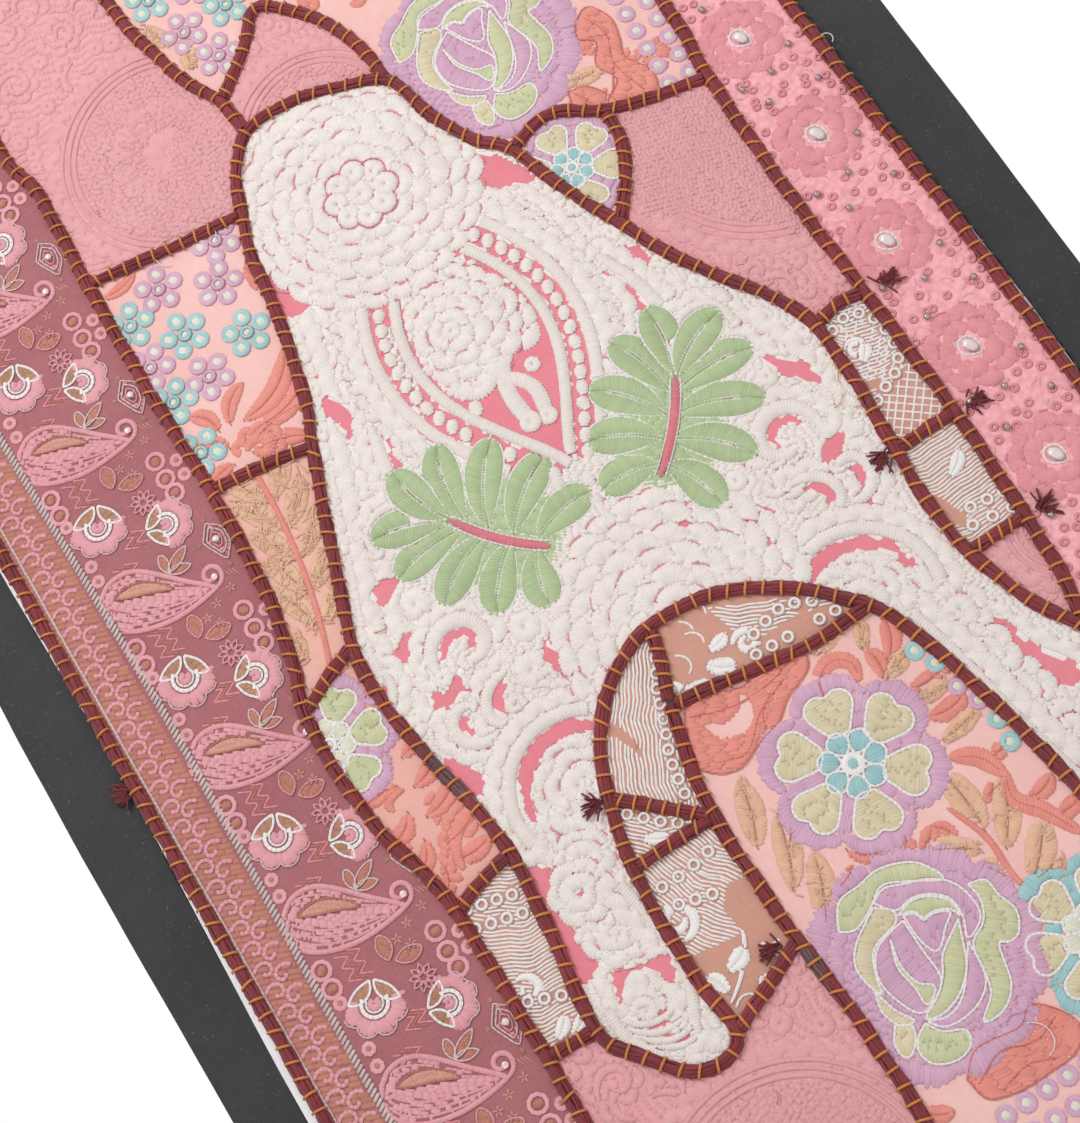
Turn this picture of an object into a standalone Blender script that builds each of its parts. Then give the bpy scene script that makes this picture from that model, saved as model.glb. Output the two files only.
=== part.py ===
"""Patchwork wall hanging of embroidered cloth, with couched yarn over its seams.

The hanging is laid out flat first, in millimetres: across is the distance to the
right of its middle line, drop is the distance below its top edge, and rise is the
height above the back of the backing cloth. hang() then stands each piece upright,
face towards -Y and top edge at Z = 0, and lays it over the same soft folds.
"""

import math

import bmesh
import bpy
import numpy as np
from mathutils import Vector

MM = 0.001

# The whole cloth, in millimetres
WIDTH = 500.0
LENGTH = 1000.0
GAP = 0.4

# Layers: the height of the underside of each sheet, and its thickness
BACKING_RISE, BACKING_THICK = 0.0, 1.0
LINING_RISE, LINING_THICK = 1.4, 1.0
BORDER_RISE, BORDER_THICK = 1.4, 1.3
PATCH_RISE, PATCH_THICK = 2.8, 1.2
CORD_RISE, CORD_WIDTH, CORD_HEIGHT = 4.4, 6.2, 3.4

# Between two patches, under the cord that covers their seam
PATCH_SEAM = 1.2

# The lining shows as a white line outside the panel's outer cord
LINING_SIDE = 220.5
LINING_END = 31.5
LINING_WAVE, LINING_WAVE_LENGTH = 1.6, 310.0
LINING_PHASES = (1.1, 3.6)

# The border's outer edge isn't quite straight
EDGE_WAVE, EDGE_WAVE_LENGTH = 1.4, 420.0
EDGE_PHASES = (0.6, 2.4)
EDGE_STEP = 50.0

# A smooth seam gets a point about this often, and a straight one only at its ends
SEAM_STEP = 13.0
STRAIGHT = 0.02

# Welding and flatness while a piece is made, the sharpest corner that is mitred in full,
# and the step by which a cord's end is cut back
WELD = 0.01
FLAT_ANGLE = math.radians(0.5)
SHARPEST_MITRE = 0.35
END_STEP = 0.4

# Soft folds of the hung cloth: how far the cloth stands back from the plane of its top edge.
# One table runs across the cloth and one down it, and the two are added.
FOLDS_ACROSS = [  # across, back
    (-260.0, 1.6),
    (-190.0, -0.6),
    (-80.0, 1.0),
    (-30.0, 1.7),
    (30.0, 1.0),
    (85.0, -0.3),
    (192.0, 0.7),
    (260.0, -1.2),
]
FOLDS_DOWN = [  # drop, back
    (-10.0, 0.0),
    (70.0, 0.3),
    (165.0, 1.5),
    (300.0, 0.4),
    (370.0, -0.9),
    (440.0, -1.3),
    (525.0, -0.2),
    (620.0, 1.3),
    (660.0, 1.6),
    (755.0, 0.9),
    (810.0, 0.0),
    (915.0, -1.4),
    (1010.0, -0.6),
]

# Where seams meet: name, across, drop
JUNCTIONS = {
    # corners of the embroidered panel
    "top_left": (-216, 36),
    "top_right": (218, 36),
    "foot_left": (-216, 964),
    "foot_right": (218, 964),
    # along the top and bottom cords
    "t1": (-46, 36),
    "w1": (-14, 964),
    # down the inner edge of the left strip
    "l0": (-122, 36),
    "l1": (-122, 100),
    "l2": (-121, 266),
    "l3": (-121, 389),
    "l4": (-136, 502),
    "l5": (-124, 612),
    "l6": (-123, 684),
    "l7": (-122, 838),
    "l8": (-122, 964),
    # down the inner edge of the right strip
    "r0": (170, 36),
    "r1": (171, 165),
    "r2": (168, 350),
    "r3": (167, 479),
    "r4": (168, 547),
    "r5": (166, 602),
    "r6": (160, 658),
    "r7": (163, 757),
    "r8": (167, 876),
    "r9": (168, 964),
    # above the white figure
    "b1": (-45, 92),
    "b2": (-44, 120),
    "j1": (-23, 222),
    "p1": (15, 189),
    # round the white figure
    "j2": (-21, 243),
    "j3": (47, 261),
    "q2": (76, 327),
    "k2": (97, 388),
    "k3": (141, 480),
    "k4": (138, 547),
    "k5": (138, 602),
    "j4": (-43, 278),
    "j6": (-72, 397),
    "j8": (-103, 487),
    "j10": (-92, 603),
    "j12": (-100, 685),
    "j14": (-52, 717),
    "a1": (-52, 637),
    "a2": (-45, 606),
    "a3": (9, 553),
    "a4": (91, 598),
    "f7": (131, 769),
    # right of the figure
    "q1": (121, 336),
    # under the arch and below it
    "s1": (-2, 587),
    "s2": (-12, 637),
    "s3": (-11, 699),
    "v1": (-12, 849),
    "u1": (114, 869),
}

# Cords, each laid in one go through junctions and the free points between them.
# The four edge cords are one cord round the panel.
CORDS = {
    "edge_left": ["top_left", (-217, 300), (-216, 480), (-215, 640), "foot_left"],
    "edge_right": ["top_right", (217, 330), (218, 520), (216, 700), "foot_right"],
    "edge_top": ["top_left", "l0", "t1", "r0", "top_right"],
    "edge_bottom": ["foot_left", "l8", "w1", "r9", "foot_right"],
    "strip_left": [
        "l0", "l1", (-124, 180), (-119, 210), "l2", (-122, 330), "l3",
        (-123, 440), (-129, 478), "l4", (-137, 535), (-134, 565), (-127, 592), "l5",
        "l6", (-124, 760), "l7", (-121, 900), "l8",
    ],
    "strip_right": [
        "r0", (173, 100), "r1", (172, 300), "r2", (166, 420), "r3", "r4",
        "r5", (164, 630), "r6", (160, 700), "r7", (167, 815), "r8", "r9",
    ],
    "figure": [
        "r6", (147, 633), "k5", (136, 575), "k4", (141, 512), "k3", (134, 459),
        (120, 436), (108, 415), "k2", (86, 360), "q2", (65, 312), (55, 290), "j3",
        (25, 249), (2, 242), "j2", (-35, 258), "j4", (-50, 300), (-53, 325),
        (-58, 352), (-65, 380), "j6", (-83, 427), (-93, 457), "j8", (-105, 512),
        (-101, 545), (-95, 575), "j10", (-95, 640), "j12", (-90, 704), (-76, 720),
        (-62, 724), "j14", (-54, 690), (-54, 662), "a1", "a2", (-33, 580),
        (-13, 561), "a3", (38, 556), (66, 572), "a4", (101, 622), (108, 650),
        (114, 682), (118, 712), (122, 745), "f7", (146, 780), "r7",
    ],
    "above_left": ["t1", "b1", "b2", (-42, 155), (-37, 182), (-30, 207), "j1", "j2"],
    "above_peak": ["j1", (0, 203), "p1", (32, 206), (44, 232), "j3"],
    "arch_post": ["s1", (-8, 610), "s2", (-12, 670), "s3", (-8, 740), (-8, 795), "v1"],
    "shoulder": ["q2", (100, 323), "q1", (142, 344), "r2"],
    "low_seam": ["l7", (-66, 846), "v1", (52, 860), "u1", "r8"],
    "top_cross_1": ["l1", (-84, 95), "b1"],
    "top_cross_2": ["b2", (10, 128), (64, 138), (118, 152), "r1"],
    "left_cross_1": ["l2", (-80, 273), "j4"],
    "left_cross_2": ["l3", (-96, 392), "j6"],
    "left_cross_3": ["l4", (-118, 493), "j8"],
    "left_cross_4": ["l5", (-108, 606), "j10"],
    "left_cross_5": ["l6", "j12"],
    "arch_cross_1": ["j14", (-33, 709), "s3"],
    "arch_cross_2": ["a1", "s2"],
    "arch_cross_3": ["a2", (-29, 621), "s2"],
    "arch_cross_4": ["a3", (4, 571), "s1"],
    "arch_cross_5": ["s1", (28, 592), (60, 598), "a4"],
    "right_cross_1": ["q1", (119, 354), (111, 371), "k2"],
    "right_cross_2": ["k3", (155, 477), "r3"],
    "right_cross_3": ["k4", "r4"],
    "right_cross_4": ["k5", "r5"],
    "low_cross_1": ["f7", (125, 820), "u1"],
    "low_cross_2": ["v1", "w1"],
}

# The edge cords in order round the panel, and the way each one runs
EDGE_LOOP = [("edge_top", 1), ("edge_right", 1), ("edge_bottom", -1), ("edge_left", -1)]

# Patches: material, and the junctions round each one in order
PATCHES = {
    "strip_mauve_paisley": ("mauve_sari", "top_left l0 l8 foot_left"),
    "strip_rose_beaded": ("rose_sari", "r0 top_right foot_right r9"),
    "figure_white": (
        "white_embroidery",
        "j2 j4 j6 j8 j10 j12 j14 a1 a2 a3 a4 f7 r7 r6 k5 k4 k3 k2 q2 j3",
    ),
    "rose_fan_left": ("pink_embroidery", "l1 b1 b2 j1 j2 j4 l2"),
    "rose_triangle": ("pink_embroidery", "j1 p1 j3 j2"),
    "floral_top": ("peach_floral", "b2 r1 r2 q1 q2 j3 p1 j1"),
    "floral_corner": ("coral_floral", "l0 t1 b1 l1"),
    "net_top": ("tan_net", "t1 r0 r1 b2 b1"),
    "cluster_left": ("peach_floral", "l2 j4 j6 l3"),
    "tan_leaf_left": ("tan_floral", "l3 j6 j8 l4"),
    "coral_left": ("coral_floral", "l4 j8 j10 l5"),
    "net_left": ("tan_net", "l5 j10 j12 l6"),
    "rose_fan_low": ("pink_embroidery", "l6 j12 j14 s3 v1 l7"),
    "net_arch_low": ("tan_net", "a1 s2 s3 j14"),
    "net_arch_wedge": ("tan_net", "a2 s2 a1"),
    "net_arch_side": ("tan_net", "a2 a3 s1 s2"),
    "net_arch_top": ("tan_net", "a3 a4 s1"),
    "floral_arch": ("peach_floral", "s1 a4 f7 u1 v1 s3 s2"),
    "petal_right": ("peach_floral", "q2 q1 k2"),
    "rose_fan_right": ("pink_embroidery", "q1 r2 r3 k3 k2"),
    "net_right_high": ("tan_net", "k3 r3 r4 k4"),
    "net_right_low": ("tan_net", "k4 r4 r5 k5"),
    "rose_right": ("pink_embroidery", "k5 r5 r6"),
    "rose_foot": ("pink_embroidery", "f7 r7 r8 u1"),
    "cluster_low": ("peach_floral", "l7 v1 w1 l8"),
    "tan_leaf_low": ("tan_floral", "v1 u1 r8 r9 w1"),
}

# Cloth and yarn colours: red, green, blue (linear), roughness
COLOURS = {
    "black_cotton": (0.030, 0.028, 0.031, 0.75),
    "white_lining": (0.780, 0.760, 0.740, 0.90),
    "maroon_yarn": (0.095, 0.016, 0.024, 0.85),
    "mauve_sari": (0.300, 0.110, 0.135, 0.70),
    "rose_sari": (0.780, 0.230, 0.290, 0.75),
    "white_embroidery": (0.740, 0.690, 0.670, 0.80),
    "pink_embroidery": (0.760, 0.330, 0.380, 0.80),
    "peach_floral": (0.800, 0.390, 0.340, 0.80),
    "coral_floral": (0.730, 0.270, 0.200, 0.80),
    "tan_floral": (0.640, 0.350, 0.210, 0.80),
    "tan_net": (0.560, 0.330, 0.260, 0.80),
}


def clear_scene():
    for obj in list(bpy.data.objects):
        bpy.data.objects.remove(obj)


def make_material(name):
    red, green, blue, roughness = COLOURS[name]
    material = bpy.data.materials.new(name)
    material.use_nodes = True
    shader = material.node_tree.nodes["Principled BSDF"]
    shader.inputs["Base Color"].default_value = (red, green, blue, 1.0)
    shader.inputs["Roughness"].default_value = roughness
    shader.inputs["Metallic"].default_value = 0.0
    material.diffuse_color = (red, green, blue, 1.0)
    return material


def fold_back(across, drop):
    """How far the hung cloth stands back at a place, in millimetres."""
    return float(
        np.interp(across, *zip(*FOLDS_ACROSS)) + np.interp(drop, *zip(*FOLDS_DOWN))
    )


# Seams

def place(stop):
    return Vector(JUNCTIONS[stop] if isinstance(stop, str) else stop)


def curve_between(before, start, end, after):
    """The points from start up to end on a smooth curve through all four (Catmull-Rom)."""
    chord = (end - start).length
    bend = max(
        (start - before).angle(end - start, 0.0), (end - start).angle(after - end, 0.0)
    )
    steps = 1 if bend < STRAIGHT else max(1, round(chord / SEAM_STEP))
    points = []
    for k in range(steps):
        t = k / steps
        points.append(
            0.5
            * (
                2 * start
                + (end - before) * t
                + (2 * before - 5 * start + 4 * end - after) * t ** 2
                + (3 * start - before - 3 * end + after) * t ** 3
            )
        )
    return points


def lay_out(stops):
    """A cord's line as smooth points, and the index of each junction that it passes."""
    given = [place(stop) for stop in stops]
    line, at = [], {}
    for k, stop in enumerate(stops):
        if isinstance(stop, str):
            at[stop] = len(line)
        if k == len(stops) - 1:
            line.append(given[k])
            break
        before = given[k - 1] if k else 2 * given[0] - given[1]
        after = given[k + 2] if k + 2 < len(given) else 2 * given[k + 1] - given[k]
        line += curve_between(before, given[k], given[k + 1], after)
    return line, at


def stretch(lines, start, end):
    """The points from one junction up to the next along the cord that joins them."""
    for line, at in lines.values():
        if start in at and end in at:
            a, b = at[start], at[end]
            if a < b:
                return line[a:b]
            return line[a:b:-1]
    raise ValueError(f"no cord joins {start} and {end}")


def outline_of(lines, corners):
    points = []
    for k, corner in enumerate(corners):
        points += stretch(lines, corner, corners[(k + 1) % len(corners)])
    return points


def drawn_in(points, by):
    """A closed outline moved inwards by a distance, with mitred corners."""
    count = len(points)
    area = sum(points[k].cross(points[(k + 1) % count]) for k in range(count))
    side = 1.0 if area > 0 else -1.0
    moved = []
    for k, point in enumerate(points):
        into = (point - points[k - 1]).normalized()
        out = (points[(k + 1) % count] - point).normalized()
        in_normal = Vector((-into.y, into.x)) * side
        out_normal = Vector((-out.y, out.x)) * side
        middle = (in_normal + out_normal).normalized()
        reach = by / max(SHARPEST_MITRE, middle.dot(in_normal))
        moved.append(point + middle * reach)
    return moved


# Solids

def hang(mesh):
    """Turns a mesh laid flat in millimetres upright and lays it over the folds, in metres."""
    for vertex in mesh.vertices:
        across, along, rise = vertex.co
        back = fold_back(across, -along) - rise
        vertex.co = (across * MM, back * MM, along * MM)
    mesh.update()


def crease(bm):
    """Cuts faces where a fold table changes slope, so that each one stays flat when it is hung."""
    cuts = [((across, 0, 0), (1, 0, 0)) for across, _ in FOLDS_ACROSS[1:-1]]
    cuts += [((0, -drop, 0), (0, 1, 0)) for drop, _ in FOLDS_DOWN[1:-1]]
    for point, normal in cuts:
        everything = bm.verts[:] + bm.edges[:] + bm.faces[:]
        bmesh.ops.bisect_plane(
            bm, geom=everything, dist=WELD, plane_co=point, plane_no=normal
        )


def solid_from(curve, rise):
    """The flat solid of a curve object, welded, lifted to its layer and creased."""
    graph = bpy.context.evaluated_depsgraph_get()
    flat = bpy.data.meshes.new_from_object(curve.evaluated_get(graph))
    bm = bmesh.new()
    bm.from_mesh(flat)
    bpy.data.meshes.remove(flat)
    bpy.data.objects.remove(curve)
    bmesh.ops.remove_doubles(bm, verts=bm.verts, dist=WELD)
    bmesh.ops.dissolve_limit(
        bm, angle_limit=FLAT_ANGLE, verts=bm.verts, edges=bm.edges
    )
    bmesh.ops.translate(bm, verts=bm.verts, vec=(0, 0, rise))
    crease(bm)
    bmesh.ops.recalc_face_normals(bm, faces=bm.faces)
    return bm


def add_piece(name, bm, material, parts):
    mesh = bpy.data.meshes.new(name)
    bm.to_mesh(mesh)
    bm.free()
    hang(mesh)
    mesh.materials.append(material)
    piece = bpy.data.objects.new(name, mesh)
    parts.objects.link(piece)


def flat_curve(name, points, closed):
    """A curve object through points given as across and drop, lying in the plane Z = 0."""
    data = bpy.data.curves.new(name, "CURVE")
    data.dimensions = "2D"
    spline = data.splines.new("POLY")
    spline.points.add(len(points) - 1)
    for target, (across, drop) in zip(spline.points, points):
        target.co = (across, -drop, 0.0, 1.0)
    spline.use_cyclic_u = closed
    obj = bpy.data.objects.new(name, data)
    bpy.context.scene.collection.objects.link(obj)
    return obj


def cut_cloth(name, points, rise, thick, material, parts):
    """A sheet of cloth with the given outline."""
    curve = flat_curve("outline", points, closed=True)
    curve.data.fill_mode = "BOTH"
    curve.data.extrude = thick / 2
    add_piece(name, solid_from(curve, rise + thick / 2), material, parts)


def cord_section():
    """The cord's cross-section: flat underneath and rounded on top."""
    half = CORD_WIDTH / 2
    shape = [
        (-half, 0.0),
        (-0.9 * half, -0.55 * CORD_HEIGHT),
        (-0.5 * half, -CORD_HEIGHT),
        (0.5 * half, -CORD_HEIGHT),
        (0.9 * half, -0.55 * CORD_HEIGHT),
        (half, 0.0),
    ]
    section = flat_curve("cord_section", shape, closed=True)
    section.hide_render = True
    section.display_type = "WIRE"
    return section


def lay_cord(name, path, closed, section, material, parts):
    curve = flat_curve("cord_line", path, closed)
    curve.data.bevel_mode = "OBJECT"
    curve.data.bevel_object = section
    curve.data.use_fill_caps = True
    add_piece(name, solid_from(curve, CORD_RISE), material, parts)


# Where a cord stops beside another

def distance_to_line(point, line):
    nearest = WIDTH + LENGTH
    for start, end in zip(line, line[1:]):
        along = end - start
        t = max(0.0, min(1.0, (point - start).dot(along) / along.length_squared))
        nearest = min(nearest, (point - start - along * t).length)
    return nearest


def cut_back(line, others):
    """The line shortened at its start until its end face is clear of the other cords."""
    line = list(line)
    clear = CORD_WIDTH / 2 + GAP
    while len(line) > 2 or (line[1] - line[0]).length > 2 * END_STEP:
        ahead = (line[1] - line[0]).normalized()
        across = Vector((-ahead.y, ahead.x)) * CORD_WIDTH / 2
        face = [line[0] - across, line[0], line[0] + across]
        if all(distance_to_line(p, other) >= clear for p in face for other in others):
            break
        if (line[1] - line[0]).length > END_STEP:
            line[0] = line[0] + ahead * END_STEP
        else:
            line.pop(0)
    return line


def in_the_way(name, junction, lines):
    """The lines of the cords that a cord ending at a junction has to stop beside."""
    names = list(CORDS)
    others = []
    for other, (line, at) in lines.items():
        if other == name or junction not in at:
            continue
        passes = 0 < at[junction] < len(line) - 1
        if passes or names.index(other) < names.index(name):
            others.append(line)
    return others


def laid_path(name, lines):
    line, _ = lines[name]
    stops = CORDS[name]
    path = cut_back(line, in_the_way(name, stops[0], lines))
    path = cut_back(path[::-1], in_the_way(name, stops[-1], lines))
    return path[::-1]


# The pieces

def wave(drop, height, length, phase):
    return height * math.sin(math.tau * drop / length + phase)


def side_points(base, height, length, phase, first, last):
    """Points down one side of a sheet whose edge isn't quite straight."""
    count = max(2, round((last - first) / EDGE_STEP) + 1)
    drops = np.linspace(first, last, count)
    side = math.copysign(1.0, base)
    return [(base + side * wave(d, height, length, phase), float(d)) for d in drops]


def sheet_outline(half, height, length, phases, first, last):
    """A closed outline: down the left side and back up the right side."""
    left = side_points(-half, height, length, phases[0], first, last)
    right = side_points(half, height, length, phases[1], first, last)
    return left + right[::-1]


def ground_cloths(materials, parts):
    """The backing, the lining and the four strips of the black border."""
    black = materials["black_cotton"]
    outer = (EDGE_WAVE, EDGE_WAVE_LENGTH)
    inner = (LINING_WAVE, LINING_WAVE_LENGTH)
    cut_cloth(
        "backing_cloth",
        sheet_outline(WIDTH / 2, *outer, EDGE_PHASES, 0.0, LENGTH),
        BACKING_RISE, BACKING_THICK, black, parts,
    )
    cut_cloth(
        "lining_cloth",
        sheet_outline(LINING_SIDE, *inner, LINING_PHASES, LINING_END, LENGTH - LINING_END),
        LINING_RISE, LINING_THICK, materials["white_lining"], parts,
    )
    for name, side, edge_phase, lining_phase in (
        ("border_left", -1, EDGE_PHASES[0], LINING_PHASES[0]),
        ("border_right", 1, EDGE_PHASES[1], LINING_PHASES[1]),
    ):
        edge = side_points(side * WIDTH / 2, *outer, edge_phase, 0.0, LENGTH)
        beside = side_points(side * (LINING_SIDE + GAP), *inner, lining_phase, 0.0, LENGTH)
        cut_cloth(name, edge + beside[::-1], BORDER_RISE, BORDER_THICK, black, parts)
    for name, first, last in (
        ("border_top", 0.0, LINING_END - GAP),
        ("border_bottom", LENGTH - LINING_END + GAP, LENGTH),
    ):
        outline = sheet_outline(LINING_SIDE - GAP, *inner, LINING_PHASES, first, last)
        cut_cloth(name, outline, BORDER_RISE, BORDER_THICK, black, parts)


def patches(lines, materials, parts):
    for name, (material, corners) in PATCHES.items():
        points = drawn_in(outline_of(lines, corners.split()), PATCH_SEAM / 2)
        cut_cloth(name, points, PATCH_RISE, PATCH_THICK, materials[material], parts)


def cords(lines, materials, parts):
    section = cord_section()
    yarn = materials["maroon_yarn"]
    loop = []
    for name, way in EDGE_LOOP:
        loop += lines[name][0][::way][:-1]
    lay_cord("cord_edge", loop, True, section, yarn, parts)
    for name in CORDS:
        if not name.startswith("edge_"):
            lay_cord("cord_" + name, laid_path(name, lines), False, section, yarn, parts)
    bpy.data.objects.remove(section)


def main():
    clear_scene()
    parts = bpy.data.collections.new("wall_hanging")
    bpy.context.scene.collection.children.link(parts)
    materials = {name: make_material(name) for name in COLOURS}
    lines = {name: lay_out(stops) for name, stops in CORDS.items()}
    ground_cloths(materials, parts)
    patches(lines, materials, parts)
    cords(lines, materials, parts)


main()
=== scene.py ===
# Patchwork wall hanging: cloth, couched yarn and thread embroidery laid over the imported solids.
# Lengths are in millimetres while a piece is drawn: across the cloth, and drop below its top edge.
from math import atan2, ceil, copysign, cos, degrees, log, pi, radians, sin, sqrt, tau

import bmesh
import bpy
import numpy as np
from mathutils import Matrix, Vector
from mathutils.bvhtree import BVHTree
from mathutils.kdtree import KDTree


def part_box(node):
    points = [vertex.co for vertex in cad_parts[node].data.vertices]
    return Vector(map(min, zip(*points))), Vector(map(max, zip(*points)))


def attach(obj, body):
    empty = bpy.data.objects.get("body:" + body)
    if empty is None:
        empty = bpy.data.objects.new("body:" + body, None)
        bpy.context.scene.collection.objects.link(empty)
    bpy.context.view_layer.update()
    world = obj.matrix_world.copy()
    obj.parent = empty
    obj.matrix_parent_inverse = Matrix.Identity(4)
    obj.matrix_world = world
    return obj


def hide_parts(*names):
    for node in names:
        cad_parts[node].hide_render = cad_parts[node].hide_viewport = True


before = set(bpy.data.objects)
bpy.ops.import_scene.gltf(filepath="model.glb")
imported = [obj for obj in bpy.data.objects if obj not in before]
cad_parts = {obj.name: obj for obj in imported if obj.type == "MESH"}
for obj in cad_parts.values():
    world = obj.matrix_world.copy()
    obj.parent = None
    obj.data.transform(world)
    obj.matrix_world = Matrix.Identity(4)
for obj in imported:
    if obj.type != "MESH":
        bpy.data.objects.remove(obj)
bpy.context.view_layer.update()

mm = 0.001
rng = np.random.default_rng(7)
vary = rng.uniform

# Heights of each cloth's underside and face above the back of the hanging
cloth = {
    "backing": (0.0, 1.0),
    "lining": (1.4, 2.4),
    "border": (1.4, 2.7),
    "patch": (2.8, 4.0),
    "cordFoot": 4.2,
}


# The surface that everything lies on

surface = {
    "left": -260.0, "right": 260.0, "top": -10.0, "bottom": 1010.0,
    "step": 5.0,
    "readAcross": (-245, 245), "readDrop": (2, 998),  # just inside the backing's edges
    "puff": 0.7,        # how far a patch swells between its seams
    "puffReach": 14.0,
    "pucker": 0.32,     # height of the small uneven waves
    "puckerStep": 2.5,
}


def readGrid(grid, step, across, drop):
    u = np.clip((across - surface["left"]) / step, 0, grid.shape[1] - 1.001)
    v = np.clip((drop - surface["top"]) / step, 0, grid.shape[0] - 1.001)
    j, i = u.astype(int), v.astype(int)
    u, v = u - j, v - i
    upper = grid[i, j] * (1 - u) + grid[i, j + 1] * u
    lower = grid[i + 1, j] * (1 - u) + grid[i + 1, j + 1] * u
    return upper * (1 - v) + lower * v


def soften(grid, times):
    for _ in range(times):
        padded = np.pad(grid, 1, mode="edge")
        grid = (padded[:-2, 1:-1] + 2 * padded[1:-1, 1:-1] + padded[2:, 1:-1]) / 4
        padded = np.pad(grid, 1, mode="edge")
        grid = (padded[1:-1, :-2] + 2 * padded[1:-1, 1:-1] + padded[1:-1, 2:]) / 4
    return grid


def measureFolds():
    # how far back the hung cloth stands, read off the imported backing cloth
    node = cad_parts["backing_cloth"].data
    tree = BVHTree.FromPolygons([v.co for v in node.vertices], [tuple(p.vertices) for p in node.polygons])
    acrossLine = np.arange(surface["left"], surface["right"] + 1, surface["step"])
    dropLine = np.arange(surface["top"], surface["bottom"] + 1, surface["step"])
    back = np.zeros((len(dropLine), len(acrossLine)))
    for i, drop in enumerate(np.clip(dropLine, *surface["readDrop"])):
        for j, across in enumerate(np.clip(acrossLine, *surface["readAcross"])):
            hit = tree.ray_cast((across * mm, -1.0, -drop * mm), (0.0, 1.0, 0.0))[0]
            back[i, j] = hit.y / mm + cloth["backing"][1]
    return back


panel = {"side": 216, "top": 36, "foot": 964}  # where the patches end


# Cord routes: junctions and the free points between them, as across and drop

junctions = {
    "topLeft": (-216, 36), "topRight": (218, 36), "footLeft": (-216, 964), "footRight": (218, 964),
    "t1": (-46, 36), "w1": (-14, 964),
    "l0": (-122, 36), "l1": (-122, 100), "l2": (-121, 266), "l3": (-121, 389), "l4": (-136, 502),
    "l5": (-124, 612), "l6": (-123, 684), "l7": (-122, 838), "l8": (-122, 964),
    "r0": (170, 36), "r1": (171, 165), "r2": (168, 350), "r3": (167, 479), "r4": (168, 547),
    "r5": (166, 602), "r6": (160, 658), "r7": (163, 757), "r8": (167, 876), "r9": (168, 964),
    "b1": (-45, 92), "b2": (-44, 120), "j1": (-23, 222), "p1": (15, 189),
    "j2": (-21, 243), "j3": (47, 261), "q2": (76, 327), "k2": (97, 388), "k3": (141, 480),
    "k4": (138, 547), "k5": (138, 602), "j4": (-43, 278), "j6": (-72, 397), "j8": (-103, 487),
    "j10": (-92, 603), "j12": (-100, 685), "j14": (-52, 717), "a1": (-52, 637), "a2": (-45, 606),
    "a3": (9, 553), "a4": (91, 598), "f7": (131, 769),
    "q1": (121, 336), "s1": (-2, 587), "s2": (-12, 637), "s3": (-11, 699), "v1": (-12, 849),
    "u1": (114, 869),
}
cordRoutes = {
    "edge": [
        "topLeft", "l0", "t1", "r0", "topRight", (217, 330), (218, 520), (216, 700), "footRight", "r9",
        "w1", "l8", "footLeft", (-215, 640), (-216, 480), (-217, 300), "topLeft",
    ],
    "strip_left": [
        "l0", "l1", (-124, 180), (-119, 210), "l2", (-122, 330), "l3", (-123, 440), (-129, 478), "l4",
        (-137, 535), (-134, 565), (-127, 592), "l5", "l6", (-124, 760), "l7", (-121, 900), "l8",
    ],
    "strip_right": [
        "r0", (173, 100), "r1", (172, 300), "r2", (166, 420), "r3", "r4", "r5", (164, 630), "r6",
        (160, 700), "r7", (167, 815), "r8", "r9",
    ],
    "figure": [
        "r6", (147, 633), "k5", (136, 575), "k4", (141, 512), "k3", (134, 459), (120, 436), (108, 415),
        "k2", (86, 360), "q2", (65, 312), (55, 290), "j3", (25, 249), (2, 242), "j2", (-35, 258), "j4",
        (-50, 300), (-53, 325), (-58, 352), (-65, 380), "j6", (-83, 427), (-93, 457), "j8", (-105, 512),
        (-101, 545), (-95, 575), "j10", (-95, 640), "j12", (-90, 704), (-76, 720), (-62, 724), "j14",
        (-54, 690), (-54, 662), "a1", "a2", (-33, 580), (-13, 561), "a3", (38, 556), (66, 572), "a4",
        (101, 622), (108, 650), (114, 682), (118, 712), (122, 745), "f7", (146, 780), "r7",
    ],
    "above_left": ["t1", "b1", "b2", (-42, 155), (-37, 182), (-30, 207), "j1", "j2"],
    "above_peak": ["j1", (0, 203), "p1", (32, 206), (44, 232), "j3"],
    "arch_post": ["s1", (-8, 610), "s2", (-12, 670), "s3", (-8, 740), (-8, 795), "v1"],
    "shoulder": ["q2", (100, 323), "q1", (142, 344), "r2"],
    "low_seam": ["l7", (-66, 846), "v1", (52, 860), "u1", "r8"],
    "top_cross_1": ["l1", (-84, 95), "b1"],
    "top_cross_2": ["b2", (10, 128), (64, 138), (118, 152), "r1"],
    "left_cross_1": ["l2", (-80, 273), "j4"],
    "left_cross_2": ["l3", (-96, 392), "j6"],
    "left_cross_3": ["l4", (-118, 493), "j8"],
    "left_cross_4": ["l5", (-108, 606), "j10"],
    "left_cross_5": ["l6", "j12"],
    "arch_cross_1": ["j14", (-33, 709), "s3"],
    "arch_cross_2": ["a1", "s2"],
    "arch_cross_3": ["a2", (-29, 621), "s2"],
    "arch_cross_4": ["a3", (4, 571), "s1"],
    "arch_cross_5": ["s1", (28, 592), (60, 598), "a4"],
    "right_cross_1": ["q1", (119, 354), (111, 371), "k2"],
    "right_cross_2": ["k3", (155, 477), "r3"],
    "right_cross_3": ["k4", "r4"],
    "right_cross_4": ["k5", "r5"],
    "low_cross_1": ["f7", (125, 820), "u1"],
    "low_cross_2": ["v1", "w1"],
}


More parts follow.
